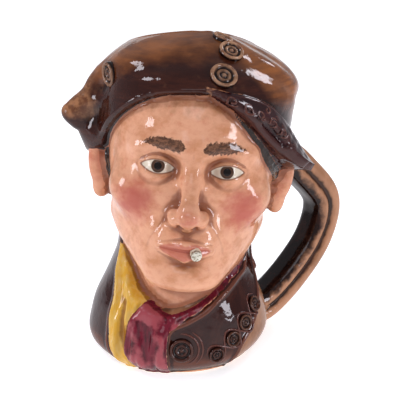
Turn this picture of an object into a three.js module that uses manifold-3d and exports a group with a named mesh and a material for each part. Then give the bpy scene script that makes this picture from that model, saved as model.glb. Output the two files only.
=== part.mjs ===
// A glazed earthenware character jug: a man's head in a soft cap, open at the crown, above a coat collar and
// a neckerchief, with a loop handle behind one ear. Millimetres, +Z up, the face towards -Y, and the origin
// on the flat foot.
//
// The whole outer form is one distance field: smooth unions of ellipsoids and round cones, with the garments
// laid on it as raised regions. Rays from the jug's axis meet it column by column, which gives a closed net
// of triangles that runs from the foot over the lip and down the inner wall to the floor.

import * as THREE from "three";
import { mergeVertices } from "three/addons/utils/BufferGeometryUtils.js";
import Module from "manifold-3d";

const wasm = await Module();
wasm.setup();

// The jug is drawn at one height and made at another: the form grows with it, the walls keep their thickness
const JUG_HEIGHT = 164.5;
const DRAWN_HEIGHT = 164.5;
const growth = JUG_HEIGHT / DRAWN_HEIGHT;

// Head: its height sets the unit in which the face is drawn, a hundredth of the head
const HEAD_HEIGHT = 115;
const HEAD_ROLL = 5.5;
const HEAD_PITCH = 5;
const EYE_LINE = [4.2, 0, 102.5];

// Vessel
const WALL = 5;
const LEAST_WALL = 3.8;
const FLOOR_THICKNESS = 6;
const FLOOR_FILLET = 10;
const FOOT_ROUNDING = 1.4;
const LIP_LIFT = 1.4;
const CROWN_OPENING = 4;
const MOUTH_POINT = [4, -12, 166.3];
const MOUTH_SLOPE = 22;

// Cap
const CAP_ROLL = 7.4;
const CAP_CENTRE = [8.8, 4, 138.6];
const CAP_RADII = [48, 46.5, 23.9];
const CAP_STAND_OFF = 5;
const CREASE_DEPTH = 1.2;
const CREASE_WIDTH = 4.2;
const PEAK_LIFT = 14;

// Coat, lapels and scarf: the half widths of the coat's plain shell by height, and what lies on it
const FOOT_CENTRE = [-3.5, 5];
const COLLAR_TOP = 76;
const COLLAR_DROP = 44;
const LAPEL_THICKNESS = 3;
const SCARF_THICKNESS = 4.2;
const KNOT_THICKNESS = 5.6;
const HAIR_THICKNESS = 1.8;
const SEAM_ROUNDING = 2.6;

// Handle: a bow in an upright plane that is turned back from +X. Its line runs through points given by their
// distance out from the jug's axis and their height, from the root under the cap to the root at the foot.
const HANDLE_TURN = 32;
const HANDLE_LINE = [
  [34, 98], [58, 96], [74.5, 83.5], [88.5, 66], [84.5, 46], [69.5, 27.5], [51, 13.5], [36, 10],
];
const HANDLE_DEPTH = 17.5;
const HANDLE_WIDTH = 18;
const HANDLE_SQUARENESS = 0.6;
const FLUTE_DEPTH = 1.8;
const FLUTE_WIDTH = 1.8;

// Buttons, as [angle from the front, height, diameter]
const CAP_BUTTONS = [
  [41.7, 157.2, 12],
  [25.1, 148.2, 13],
  [50, 161.5, 10],
  [-53.4, 146.4, 12],
];
const COAT_BUTTONS = [
  [-2, 15.5, 12],
  [20, 9.5, 8],
  [33, 15, 8],
  [45, 22, 8],
  [58, 29.5, 8],
];
const BUTTON_RISE = 1.7;
const BUTTON_SINK = 2.6;
const STUB_DIAMETER = 5.4;
const STUB_LENGTH = 8;

// Net
const COLUMNS = 70;
const OUTER_ROWS = 46;
const INNER_ROWS = 12;
const AXIS_LEAN = [5, 3];
const AXIS_TOP = 112;
const SIDE_SHARE = 0.66;
const CROWN_TURN = 84;
const REACH = 95;

const unit = HEAD_HEIGHT / 100;
const rad = THREE.MathUtils.degToRad;
const clamp = THREE.MathUtils.clamp;

// Small vector and blending helpers

const sub = (p, c) => [p[0] - c[0], p[1] - c[1], p[2] - c[2]];
const add = (p, c) => [p[0] + c[0], p[1] + c[1], p[2] + c[2]];
const scale = (p, s) => [p[0] * s, p[1] * s, p[2] * s];
const dot = (p, c) => p[0] * c[0] + p[1] * c[1] + p[2] * c[2];
const size = (p) => Math.hypot(p[0], p[1], p[2]);
const mirrored = (p) => [Math.abs(p[0]), p[1], p[2]];

function smoothMin(a, b, k) {
  const h = Math.max(k - Math.abs(a - b), 0) / k;
  return Math.min(a, b) - h * h * k * 0.25;
}

function smoothMax(a, b, k) {
  return -smoothMin(-a, -b, k);
}

function ramp(from, to, x) {
  const t = clamp((x - from) / (to - from), 0, 1);
  return t * t * (3 - 2 * t);
}

function bump(x, width) {
  return Math.exp(-((x / width) ** 2));
}

function turnX(p, angle) {
  const c = Math.cos(rad(angle));
  const s = Math.sin(rad(angle));
  return [p[0], c * p[1] - s * p[2], s * p[1] + c * p[2]];
}

function turnY(p, angle) {
  const c = Math.cos(rad(angle));
  const s = Math.sin(rad(angle));
  return [c * p[0] + s * p[2], p[1], -s * p[0] + c * p[2]];
}

function turnZ(p, angle) {
  const c = Math.cos(rad(angle));
  const s = Math.sin(rad(angle));
  return [c * p[0] - s * p[1], s * p[0] + c * p[1], p[2]];
}

// Distances to the two building blocks: an ellipsoid, and a cone with round ends

function ellipsoid(p, centre, radii) {
  const q = sub(p, centre);
  const near = Math.hypot(q[0] / radii[0], q[1] / radii[1], q[2] / radii[2]);
  const far = Math.hypot(q[0] / radii[0] ** 2, q[1] / radii[1] ** 2, q[2] / radii[2] ** 2);
  return (near * (near - 1)) / Math.max(far, 1e-9);
}

function cone(p, from, to, fromRadius, toRadius) {
  const axis = sub(to, from);
  const q = sub(p, from);
  const t = clamp(dot(q, axis) / dot(axis, axis), 0, 1);
  return size(sub(q, scale(axis, t))) - (fromRadius + (toRadius - fromRadius) * t);
}

// A smooth line through hand-set knots [x, y], giving its value and slope at any x
function line(...knots) {
  const slopes = knots.map((knot, i) => {
    const before = knots[Math.max(i - 1, 0)];
    const after = knots[Math.min(i + 1, knots.length - 1)];
    return (after[1] - before[1]) / (after[0] - before[0]);
  });
  return (x) => {
    const held = clamp(x, knots[0][0], knots.at(-1)[0]);
    let i = 0;
    while (i < knots.length - 2 && held > knots[i + 1][0]) i += 1;
    const h = knots[i + 1][0] - knots[i][0];
    const t = (held - knots[i][0]) / h;
    const rise = knots[i + 1][1] - knots[i][1];
    const start = slopes[i] * h - rise;
    const end = rise - slopes[i + 1] * h;
    const value = knots[i][1] + t * rise + t * (1 - t) * ((1 - t) * start + t * end);
    const slope = (rise + (1 - 2 * t) * ((1 - t) * start + t * end) + t * (1 - t) * (end - start)) / h;
    return [value, slope];
  };
}

// How far a point lies past a line y = f(x), with y in steps of `step` millimetres
function past(curve, x, y, step = 1) {
  const [value, slope] = curve(x);
  return ((y - value) * step) / Math.hypot(1, slope * step);
}

// Seams of the garments. Heights are in millimetres, angles in degrees round the jug from the front, growing
// towards +X, and one degree counts as DEGREE millimetres of cloth.
const DEGREE = rad(42);
const LAPEL_FRONT = line(
  [-2, -16.5], [10, -14], [20, -11], [28, -8], [34.6, 1], [40, 16], [46, 28], [52, 42], [76, 62],
);
const LAPEL_BACK = line(
  [-2, 18], [7, 26], [11, 36], [14, 50], [18, 64], [24, 80], [32, 92], [45, 102], [76, 112],
);
const OTHER_FRONT = line([-2, -60], [9, -59.5], [22, -59], [32, -64], [43, -70], [54, -68], [76, -60]);
const OTHER_BACK = line([-2, -100], [20, -108], [40, -118], [76, -130]);
const SCARF_SEAM = line([-2, -45], [9, -46.5], [15, -47], [23, -44.5], [30, -40], [37, -28]);
const NECK_LINE = line([-75, 72], [-56, 55], [-38, 41], [-18, 34], [-8, 34], [16, 43.5], [43, 55], [66, 74]);
const COAT_TOP = line(
  [-180, 74], [-75, 72], [-60, 58], [-40, 42], [-20, 34], [0, 36.5], [43, 53], [80, 74], [180, 74],
);
const HAIR_RIGHT = line([88, 84], [95, 68], [103.6, 54], [112.7, 45], [121.6, 37], [132, 28], [142, 22]);
const HAIR_LEFT = line([88, -84], [100, -79], [107, -80], [115, -75], [125, -57], [135, -45]);
const PEAK_TOP = line(
  [8, 145], [24, 140.5], [34, 138.5], [48, 133], [62, 124], [76, 115], [90, 106], [104, 98],
);
const PEAK_LOW = line(
  [8, 143], [24, 136], [34, 127.5], [48, 114], [62, 103.5], [76, 98], [90, 96], [104, 95],
);

// The coat's plain shell by height: its half width and half depth, and where its middle lies
const COAT_WIDTH = line(
  [-5, 35], [0, 37.5], [4, 41], [9, 43.6], [14, 44.6],
  [22, 43.4], [30, 41], [46, 33.4], [57, 30.6], [90, 29.5],
);
const COAT_DEPTH = line(
  [-5, 34], [0, 36.5], [4, 38.4], [9, 39.4], [14, 39.6],
  [22, 39], [34, 38], [46, 36.5], [60, 36], [90, 36],
);
const COAT_MIDDLE_X = line([-5, -4.5], [0, -3.5], [8, -2.4], [20, -1.4], [46, -1.6], [60, 0], [90, 0.8]);
const COAT_MIDDLE_Y = line([-5, 6.5], [0, 5], [5, 2.8], [12, 1.6], [30, 2], [74, 4], [90, 4]);

// The cap's lower edge and the crease above its band, as heights in head units by the angle round the head
const CAP_EDGE = line(
  [-180, -4], [-120, -2], [-95, 1], [-80, 5], [-62, 13], [-45, 22], [-25, 31], [0, 33.5],
  [25, 32], [45, 24], [62, 14], [80, 5], [95, 1], [120, -2], [180, -4],
);
const CREASE = line(
  [-120, 20], [-80, 26], [-60, 33], [-40, 39], [-20, 43], [20, 45], [60, 36], [80, 30], [120, 22],
);

// The head stands tilted: points go into its own frame, whose origin is midway between the eyes
function toHead(p) {
  return scale(turnX(turnY(sub(p, EYE_LINE), -HEAD_ROLL), HEAD_PITCH), 1 / unit);
}

function fromHead(q) {
  return add(turnY(turnX(scale(q, unit), -HEAD_PITCH), HEAD_ROLL), EYE_LINE);
}

// Skull, cheeks, jaw and chin, in head units
function skull(q) {
  const m = mirrored(q);
  let d = ellipsoid(q, [0, 2, 12], [36, 44, 38]);
  d = smoothMin(d, ellipsoid(q, [0, -8, -10], [33, 32, 35]), 10);
  d = smoothMin(d, ellipsoid(q, [0, -26, -29], [18.5, 18, 14]), 8);
  d = smoothMin(d, cone(m, [25.5, 1, -27], [9.5, -32, -42.5], 7, 7), 10);
  d = smoothMin(d, ellipsoid(q, [0, -34, -43.5], [10.5, 10.5, 7.2]), 6);
  return smoothMin(d, ellipsoid(m, [23, -24, -11], [9.5, 9, 8]), 8);
}

function nose(q) {
  const m = mirrored(q);
  let d = cone(q, [0, -37.5, 3], [0, -46.5, -13.5], 2.8, 3.6);
  d = smoothMin(d, ellipsoid(q, [0, -48.8, -16.6], [4.5, 4.5, 4.5]), 3);
  return smoothMin(d, ellipsoid(m, [5, -44, -18.2], [3.4, 4.8, 3.4]), 2.4);
}

// Upper and lower lip
function lips(q, around) {
  const m = mirrored(q);
  const height = -31;
  const upper = cone(m, [0.8, -45.3, height + 1.9], [10.5, -40.5, height + 0.2], 1.9, 0.7);
  const lower = cone(m, [0, -45.2, height - 2.6], [10, -40.6, height - 0.5], 2.5, 0.8);
  return smoothMin(smoothMin(around, upper, 1.6), lower, 1.8);
}

// Eyeball, and lids that open in the shape of a lens between two arcs
function eyes(q, around) {
  const m = mirrored(q);
  const centre = [13.7, -32.9, 0];
  const radius = 6.1;
  const halfOpening = 6.9;
  const above = 3.1;
  const below = 2.1;
  const upperArc = (halfOpening ** 2 + above ** 2) / (2 * above);
  const lowerArc = (halfOpening ** 2 + below ** 2) / (2 * below);
  const x = m[0] - centre[0];
  const z = m[2] - centre[2] - 0.06 * x;
  const lens = Math.max(
    Math.hypot(x, z - above + upperArc) - upperArc,
    Math.hypot(x, z + below - lowerArc) - lowerArc,
    m[1] + 25,
  );
  const lids = smoothMin(around, size(sub(m, centre)) - radius - 1, 2.2);
  return smoothMin(smoothMax(lids, -lens, 0.5), size(sub(m, centre)) - radius, 0.3);
}

function face(q, around) {
  const m = mirrored(q);
  let d = smoothMin(around, cone(m, [4, -38.5, 8.5], [21, -31, 7.5], 3.4, 3), 6);
  d = smoothMax(d, -ellipsoid(m, [13.7, -41.5, 0], [9.5, 6.5, 6.2]), 5);
  d = smoothMin(d, nose(q), 4);
  return eyes(q, lips(q, d));
}

// Ear: a shell with a hollow and a rolled rim, standing out from the side of the head
function ear(q) {
  const e = turnX(turnZ(sub(mirrored(q), [37.6, 5, -6.5]), -40), -10);
  let d = ellipsoid(e, [0, 1, 0.5], [5.4, 10, 15]);
  d = smoothMin(d, ellipsoid(e, [0.8, -2.5, -12], [3, 4, 4.5]), 3);
  const round = Math.hypot((e[1] - 0.5) / 8.4, (e[2] - 0.8) / 13);
  let rim = Math.hypot((round - 0.88) * 9.5, e[0] - 3) - 1.6;
  rim = smoothMax(rim, -7.5 - e[2], 1.5);
  rim = smoothMax(rim, 4 - e[2] - (e[1] + 3.5) * 1.2, 1.5);
  d = smoothMax(d, -ellipsoid(e, [5.2, -0.5, 0.8], [3.2, 5.6, 8.8]), 1.6);
  return smoothMin(d, rim, 1.4);
}

function neck(p) {
  const round = Math.hypot((p[0] - 1) / 30.5, (p[1] - 3) / 37);
  return smoothMax((round - 1) * 30.5, p[2] - 86, 8);
}

// The coat's plain shell, an ellipse at each height that narrows from the coat's hem to the nape
function shell(p) {
  const width = COAT_WIDTH(p[2])[0];
  const depth = COAT_DEPTH(p[2])[0];
  const x = p[0] - COAT_MIDDLE_X(p[2])[0];
  const y = p[1] - COAT_MIDDLE_Y(p[2])[0];
  return (Math.hypot(x / width, y / depth) - 1) * Math.min(width, depth) * 0.95;
}

// Lapels in front and a turned-down collar behind, raised from the coat
function lapels(base, angle, z) {
  const right = Math.max(-past(LAPEL_FRONT, z, angle, DEGREE), past(LAPEL_BACK, z, angle, DEGREE));
  const left = Math.max(-past(OTHER_BACK, z, angle, DEGREE), past(OTHER_FRONT, z, angle, DEGREE));
  const dip = 4 * Math.cos(rad(2 * angle));
  const collar = Math.max(COLLAR_DROP + dip - z, (92 - Math.abs(angle)) * DEGREE);
  const region = smoothMax(smoothMin(smoothMin(right, left, 1), collar, 5), z - COLLAR_TOP, 2);
  const thickness = (LAPEL_THICKNESS + 0.6 * ramp(50, COLLAR_TOP, z)) * reliefAt(z);
  return smoothMax(base - thickness, region, SEAM_ROUNDING);
}

// The neckerchief's two cloths, with their folds
function scarf(base, angle, z) {
  const underNeck = past(NECK_LINE, angle, z);
  const fromLapel = past(OTHER_FRONT, z, angle, DEGREE) - 2;
  const seam = past(SCARF_SEAM, z, angle, DEGREE);
  const folds = 1.1 * Math.sin(fromLapel * 0.62 + z * 0.05);
  const sideRise = (SCARF_THICKNESS + folds) * reliefAt(z);
  const side = smoothMax(base - sideRise, Math.max(-fromLapel - 3, seam, underNeck), SEAM_ROUNDING);
  const pleats = 0.9 * Math.sin((angle + 30) * DEGREE * 0.75 + z * 0.1);
  const tuck = ramp(22, 32, z);
  const rise = (KNOT_THICKNESS - 3.4 * tuck * ramp(-26, -8, angle) + pleats * (1 - tuck)) * reliefAt(z);
  const toLapel = past(LAPEL_FRONT, z, angle, DEGREE) - 1.5;
  return smoothMin(side, smoothMax(base - rise, Math.max(-seam, toLapel, underNeck), SEAM_ROUNDING), 1);
}

// Soft cap: a flat crown over a rolled band, drawn out to a point on one side
function cap(p, q, head, headAngle) {
  const w = turnY(sub(p, CAP_CENTRE), -CAP_ROLL);
  let d = ellipsoid(w, [0, 0, 0], CAP_RADII);
  const band = smoothMin(head - CAP_STAND_OFF, ellipsoid(w, [0, 0.5, -8.7], [45.6, 44.5, 23.4]), 6);
  d = smoothMin(d, band, 2.5);
  const point = cone(w, [-44.2, 1, -9.7], [-64.8, -1, -23.4], 12, 4.5);
  const underPoint = cone(w, [-48.2, 2, -29.7], [-56.4, -1, -26.9], 13.8, 5);
  d = smoothMin(d, smoothMin(point, underPoint, 6), 9);
  const aboveCrease = (q[2] - CREASE(headAngle)[0]) * unit;
  d += CREASE_DEPTH * bump(aboveCrease, CREASE_WIDTH) * ramp(112, 96, Math.abs(headAngle));
  return smoothMax(d, -past(CAP_EDGE, headAngle, q[2]) * unit, SEAM_ROUNDING);
}

// The peak, worn over one temple: a leaf that stands off further and further towards its lower edge
function peak(base, angle, z) {
  const over = past(PEAK_TOP, angle, z);
  const under = past(PEAK_LOW, angle, z);
  const share = clamp(-over / Math.max(under - over, 1e-3), 0, 1.2);
  const ends = ramp(12, 34, angle) * (1 - ramp(84, 100, angle));
  const lift = (2 + share * (5 + (PEAK_LIFT - 5) * ramp(36, 78, angle))) * ends;
  const region = Math.max(over - 2, -under, Math.max(12 - angle, angle - 104) * DEGREE);
  return smoothMax(base - lift, region, SEAM_ROUNDING);
}

function hair(head, angle, z) {
  const right = -past(HAIR_RIGHT, z, angle, DEGREE);
  const left = past(HAIR_LEFT, z, angle, DEGREE);
  const temples = Math.max(Math.min(right, left), 91 - z);
  const nape = Math.max((104 - Math.abs(angle)) * DEGREE, 66 - z);
  return smoothMax(head - HAIR_THICKNESS, smoothMin(temples, nape, 3), 1.6);
}

// A point given by its distance out along the handle's plane and its height
function onHandlePlane(out, z) {
  return [out * Math.cos(rad(HANDLE_TURN)), out * Math.sin(rad(HANDLE_TURN)), z];
}

const handlePoints = HANDLE_LINE.map(([out, z]) => onHandlePlane(out, z));

// The flares by which the handle's ends run into the body
function handleRoots(p) {
  const top = cone(p, handlePoints[0], handlePoints[1], HANDLE_WIDTH * 0.66, HANDLE_DEPTH * 0.4);
  const low = cone(p, handlePoints.at(-1), handlePoints.at(-2), HANDLE_DEPTH * 0.54, HANDLE_DEPTH * 0.4);
  return Math.min(top, low);
}

// The share of the garments' relief that is left towards the foot, where the mould is nearly plain
function reliefAt(z) {
  return 0.45 + 0.55 * ramp(-1, 9, z);
}

// The whole outer form
function form(p) {
  const q = toHead(p);
  const angle = THREE.MathUtils.radToDeg(Math.atan2(p[0] - 1, 2 - p[1]));
  const headAngle = THREE.MathUtils.radToDeg(Math.atan2(q[0], -q[1]));
  const bare = skull(q);
  const head = bare * unit;
  const base = shell(p);
  const hat = cap(p, q, head, headAngle);
  let d = smoothMin(face(q, bare) * unit, neck(p), 7);
  d = smoothMin(d, ear(q) * unit, 3.5);
  d = smoothMin(d, hair(head, angle, p[2]), 1.2);
  d = smoothMin(d, smoothMax(base, past(COAT_TOP, angle, p[2]), 3), 1.5);
  d = smoothMin(d, lapels(base, angle, p[2]), 1.2);
  d = smoothMin(d, scarf(base, angle, p[2]), 1);
  d = smoothMin(d, hat, 1.2);
  d = smoothMin(d, peak(smoothMin(head, hat, 2), angle, p[2]), 1.2);
  return smoothMin(d, handleRoots(p), 7);
}

// The hollow: a plain body's skin moved in by the wall, never nearer than LEAST_WALL to the outer form
function hollow(p) {
  let d = smoothMin(skull(toHead(p)) * unit, neck(p), 8);
  d = smoothMin(d, smoothMax(shell(p), p[2] - 60, 10), 12);
  const crown = [CAP_RADII[0], CAP_RADII[1], CAP_RADII[2] + CROWN_OPENING];
  d = smoothMin(d, ellipsoid(turnY(sub(p, CAP_CENTRE), -CAP_ROLL), [0, 0, 0], crown), 8);
  d = smoothMax(d + WALL / growth, form(p) + LEAST_WALL / growth, 2);
  return smoothMax(d, FLOOR_THICKNESS / growth - p[2], FLOOR_FILLET);
}

// The mouth is cut by a plane that falls towards the back of the cap
const MOUTH_NORMAL = [0, Math.sin(rad(MOUTH_SLOPE)), Math.cos(rad(MOUTH_SLOPE))];

function aboveMouth(p) {
  return dot(sub(p, MOUTH_POINT), MOUTH_NORMAL);
}

// Numbers from 0 to 1 at the given shares of a whole, closer together where the density is higher
function spread(shares, density) {
  const steps = 720;
  const sums = [0];
  for (let i = 0; i < steps; i += 1) sums.push(sums[i] + density((i + 0.5) / steps));
  return shares.map((share) => {
    const wanted = sums[steps] * share;
    const i = Math.max(sums.findIndex((sum) => sum >= wanted), 1);
    return (i - 1 + (wanted - sums[i - 1]) / (sums[i] - sums[i - 1])) / steps;
  });
}

// Angles of the net's columns, closer together over the face and at the points of cap and peak
function columnAngles(count) {
  const density = (turn) => {
    const angle = 360 * turn - 180;
    return 1 + 2.6 * bump(angle, 42) + 2.4 * bump(angle + 86, 11) + bump(angle - 82, 13);
  };
  const shares = Array.from({ length: count }, (_, k) => (k + 0.5) / count);
  return spread(shares, density).map((turn) => 2 * Math.PI * turn - Math.PI);
}

// Shares of a column's length at which the rows lie, closer together over the face and round the cap's point
function rowShares(count) {
  const shares = Array.from({ length: count }, (_, r) => r / (count - 1));
  return spread(shares, (share) => 1 + bump(share - 0.53, 0.17) + 2 * bump(share - 0.75, 0.07));
}

// A ray from the leaning axis: level up the side, then tipping over the crown, and below 0 tipping down
function ray(angle, v) {
  const side = clamp(v / SIDE_SHARE, 0, 1);
  const crown = clamp((v - SIDE_SHARE) / (1 - SIDE_SHARE), 0, 1);
  const tip = rad(CROWN_TURN * crown);
  const height = FOOT_ROUNDING + (AXIS_TOP - FOOT_ROUNDING) * side;
  const origin = [AXIS_LEAN[0] * side, AXIS_LEAN[1] * side, height];
  const away = [Math.sin(angle) * Math.cos(tip), -Math.cos(angle) * Math.cos(tip), Math.sin(tip)];
  return { origin, away };
}

function innerRay(angle, v) {
  if (v >= 0) {
    const { origin, away } = ray(angle, v);
    origin[2] = Math.max(origin[2], FLOOR_THICKNESS + FLOOR_FILLET);
    return { origin, away };
  }
  const tip = rad(80 * v);
  const away = [Math.sin(angle) * Math.cos(tip), -Math.cos(angle) * Math.cos(tip), Math.sin(tip)];
  return { origin: [0, 0, FLOOR_THICKNESS + FLOOR_FILLET], away };
}

function hitFromOutside({ origin, away }) {
  let t = REACH;
  for (let i = 0; i < 60; i += 1) {
    const d = form(add(origin, scale(away, t)));
    if (Math.abs(d) < 1e-3) break;
    t = clamp(t - 0.8 * d, 2, REACH);
  }
  return add(origin, scale(away, t));
}

function hitFromInside({ origin, away }) {
  let t = 1;
  for (let i = 0; i < 60; i += 1) {
    const d = hollow(add(origin, scale(away, t)));
    if (Math.abs(d) < 1e-3) break;
    t = clamp(t - 0.85 * d, 0.5, REACH);
  }
  return add(origin, scale(away, t));
}

// The share of a column's height at which it meets the mouth's plane
function mouthShare(hit) {
  let low = SIDE_SHARE * 0.9;
  let high = 1;
  for (let i = 0; i < 16; i += 1) {
    const middle = (low + high) / 2;
    if (aboveMouth(hit(middle)) > 0) high = middle;
    else low = middle;
  }
  return (low + high) / 2;
}

function slopeOf(field, p) {
  const e = 0.05;
  const corners = [[1, -1, -1], [-1, -1, 1], [-1, 1, -1], [1, 1, 1]];
  let g = [0, 0, 0];
  for (const corner of corners) {
    g = add(g, scale(corner, field(add(p, scale(corner, e))) / (4 * e)));
  }
  return g;
}

// Evens a grid of rows out along the surface, with its first and last row held
function settle(rows, times) {
  let grid = rows;
  for (let n = 0; n < times; n += 1) {
    grid = grid.map((row, r) => {
      if (r === 0 || r === grid.length - 1) return row;
      return row.map((p, c) => {
        const left = row[(c + row.length - 1) % row.length];
        const right = row[(c + 1) % row.length];
        const middle = scale(add(add(left, right), add(grid[r - 1][c], grid[r + 1][c])), 0.25);
        const g = slopeOf(form, p);
        const steep = Math.max(size(g), 0.3);
        const normal = scale(g, 1 / steep);
        const move = sub(middle, p);
        const slide = sub(move, scale(normal, dot(move, normal)));
        const q = add(p, scale(slide, 0.6));
        return sub(q, scale(normal, clamp(form(q) / steep, -1, 1)));
      });
    });
  }
  return grid;
}

// Takes the roughness out of a grid without shrinking it: a step in, then a slightly smaller step out
function iron(rows) {
  let grid = rows;
  for (const share of [0.42, -0.4]) {
    grid = grid.map((row, r) => {
      if (r === 0 || r === grid.length - 1) return row;
      return row.map((p, c) => {
        const left = row[(c + row.length - 1) % row.length];
        const right = row[(c + 1) % row.length];
        const middle = scale(add(add(left, right), add(grid[r - 1][c], grid[r + 1][c])), 0.25);
        return add(p, scale(sub(middle, p), share));
      });
    });
  }
  return grid;
}

function outerRows(angles) {
  const shares = rowShares(OUTER_ROWS);
  const columns = angles.map((angle) => {
    const top = mouthShare((v) => hitFromOutside(ray(angle, v)));
    return shares.map((share) => hitFromOutside(ray(angle, top * share)));
  });
  return columns[0].map((_, r) => columns.map((column) => column[r]));
}

// Rows down the inner wall, closer together under the crown. Below the lip's edge they need only every second
// column, because the hollow is plain.
function innerRows(angles) {
  const columns = angles.map((angle) => {
    const top = mouthShare((v) => hitFromInside(innerRay(angle, v)));
    return Array.from({ length: INNER_ROWS }, (_, r) => {
      const down = (r / (INNER_ROWS - 1)) ** 1.3;
      return hitFromInside(innerRay(angle, top - (top + 0.85) * down));
    });
  });
  return columns[0].map((_, r) => {
    const row = columns.map((column) => column[r]);
    return r === 0 ? row : row.filter((_, c) => c % 2 === 0);
  });
}

// Rows between the outer and inner edge of the mouth, as a low arch
function lipRows(outside, inside) {
  return [0.15, 0.5, 0.85].map((share) =>
    outside.map((p, c) => {
      const q = add(p, scale(sub(inside[c], p), (1 - Math.cos(Math.PI * share)) / 2));
      return add(q, scale(MOUTH_NORMAL, LIP_LIFT * Math.sin(Math.PI * share)));
    }),
  );
}

function meanPoint(row) {
  return scale(row.reduce((sum, p) => add(sum, p), [0, 0, 0]), 1 / row.length);
}

// How far the middle of an edge lies off the form
function offForm(from, to) {
  return Math.abs(form(scale(add(from, to), 0.5)));
}

// A closed net over rows of points, with a fan at each end. Each square is split along the diagonal that lies
// nearer to the form, so that ridges stay whole. A row may have half the points of the one before it.
function closedNet(rows, first, last) {
  const points = [first, ...rows.flat(), last];
  const end = points.length - 1;
  const starts = rows.map((_, r) => 1 + rows.slice(0, r).flat().length);
  const index = (r, c) => starts[r] + (c % rows[r].length);
  const corners = [];
  rows[0].forEach((_, c) => corners.push(0, index(0, c + 1), index(0, c)));
  for (let r = 0; r < rows.length - 1; r += 1) {
    const halved = rows[r + 1].length < rows[r].length;
    for (let c = 0; c < rows[r].length; c += 1) {
      const above = halved ? Math.floor(c / 2) : c;
      if (halved && c % 2 === 0) {
        corners.push(index(r, c), index(r, c + 1), index(r + 1, above));
        continue;
      }
      const square = [index(r, c), index(r, c + 1), index(r + 1, above + 1), index(r + 1, above)];
      const [a, b, d, e] = square.map((i) => points[i]);
      if (offForm(b, e) < offForm(a, d)) square.push(square.shift());
      corners.push(square[0], square[1], square[2], square[0], square[2], square[3]);
    }
  }
  rows.at(-1).forEach((_, c) => corners.push(end, index(rows.length - 1, c), index(rows.length - 1, c + 1)));
  return toSolid(Float32Array.from(points.flat()), Uint32Array.from(corners));
}

function toSolid(vertProperties, triVerts) {
  return new wasm.Manifold(new wasm.Mesh({ numProp: 3, vertProperties, triVerts }));
}

function geometryToSolid(geometry) {
  geometry.deleteAttribute("normal");
  geometry.deleteAttribute("uv");
  const merged = mergeVertices(geometry, 1e-3);
  return toSolid(Float32Array.from(merged.attributes.position.array), Uint32Array.from(merged.index.array));
}

function solidToGeometry(solid) {
  const mesh = solid.getMesh();
  const geometry = new THREE.BufferGeometry();
  geometry.setAttribute("position", new THREE.BufferAttribute(Float32Array.from(mesh.vertProperties), 3));
  geometry.setIndex(new THREE.BufferAttribute(Uint32Array.from(mesh.triVerts), 1));
  geometry.computeVertexNormals();
  return geometry;
}

// Body and hollow, from one set of columns
function makeVessel() {
  const angles = columnAngles(COLUMNS);
  const outer = iron(settle(outerRows(angles), 6));
  const inner = innerRows(angles);
  const foot = outer[0].map((p) => {
    const out = [p[0] - FOOT_CENTRE[0], p[1] - FOOT_CENTRE[1], 0];
    const [x, y] = sub(p, scale(out, FOOT_ROUNDING / size(out)));
    return [x, y, 0];
  });
  const rows = [foot, ...outer, ...lipRows(outer.at(-1), inner[0]), ...inner];
  const body = closedNet(rows, [...FOOT_CENTRE, 0], meanPoint(inner.at(-1)));
  const roomRows = [inner[0].filter((_, c) => c % 2 === 0), ...inner.slice(1)].reverse();
  const room = closedNet(roomRows, meanPoint(inner.at(-1)), meanPoint(inner[0]));
  return { body, room };
}

// The handle's section: rounded, with a flute down the middle of each side. `along` is across the bow.
function handleSection(corners) {
  return Array.from({ length: corners }, (_, i) => {
    const a = (2 * Math.PI * (i + 0.5)) / corners;
    const square = (value) => Math.sign(value) * Math.abs(value) ** HANDLE_SQUARENESS;
    const along = (HANDLE_DEPTH / 2) * square(Math.cos(a));
    const side = (HANDLE_WIDTH / 2) * square(Math.sin(a));
    return [along, side - Math.sign(side) * FLUTE_DEPTH * bump(along, FLUTE_WIDTH)];
  });
}

function makeHandle() {
  const section = handleSection(14);
  const rings = 24;
  const bow = new THREE.CatmullRomCurve3(handlePoints.map((p) => new THREE.Vector3(...p)));
  const sideways = new THREE.Vector3(-Math.sin(rad(HANDLE_TURN)), Math.cos(rad(HANDLE_TURN)), 0);
  const rows = Array.from({ length: rings }, (_, r) => {
    const centre = bow.getPointAt(r / (rings - 1));
    const outward = new THREE.Vector3().crossVectors(sideways, bow.getTangentAt(r / (rings - 1)));
    return section.map(([along, side]) =>
      centre.clone().addScaledVector(outward, along).addScaledVector(sideways, side).toArray(),
    );
  });
  return closedNet(rows, meanPoint(rows[0]), meanPoint(rows.at(-1)));
}

// Turns a solid whose own axis is +Z so that it stands on the form along the form's normal
function standOn(solid, place, normal) {
  const up = new THREE.Vector3(0, 0, 1);
  const turn = new THREE.Quaternion().setFromUnitVectors(up, new THREE.Vector3(...normal));
  const matrix = new THREE.Matrix4().compose(new THREE.Vector3(...place), turn, new THREE.Vector3(1, 1, 1));
  return solid.transform(matrix.elements);
}

// A raised button with a rolled rim and a dished middle
function makeButton(angle, height, diameter) {
  const r = diameter / 2;
  const profile = [
    [0, -BUTTON_SINK],
    [r, -BUTTON_SINK],
    [r, BUTTON_RISE * 0.6],
    [r * 0.86, BUTTON_RISE],
    [r * 0.66, BUTTON_RISE * 0.6],
    [0, BUTTON_RISE * 0.6],
  ];
  const lathe = new THREE.LatheGeometry(profile.map(([x, y]) => new THREE.Vector2(x, y)), 12);
  lathe.rotateX(Math.PI / 2);
  const away = [Math.sin(rad(angle)), -Math.cos(rad(angle)), 0];
  const place = hitFromOutside({ origin: [1, 2, height], away });
  const slope = slopeOf(form, place);
  return standOn(geometryToSolid(lathe), place, scale(slope, 1 / size(slope)));
}

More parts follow.
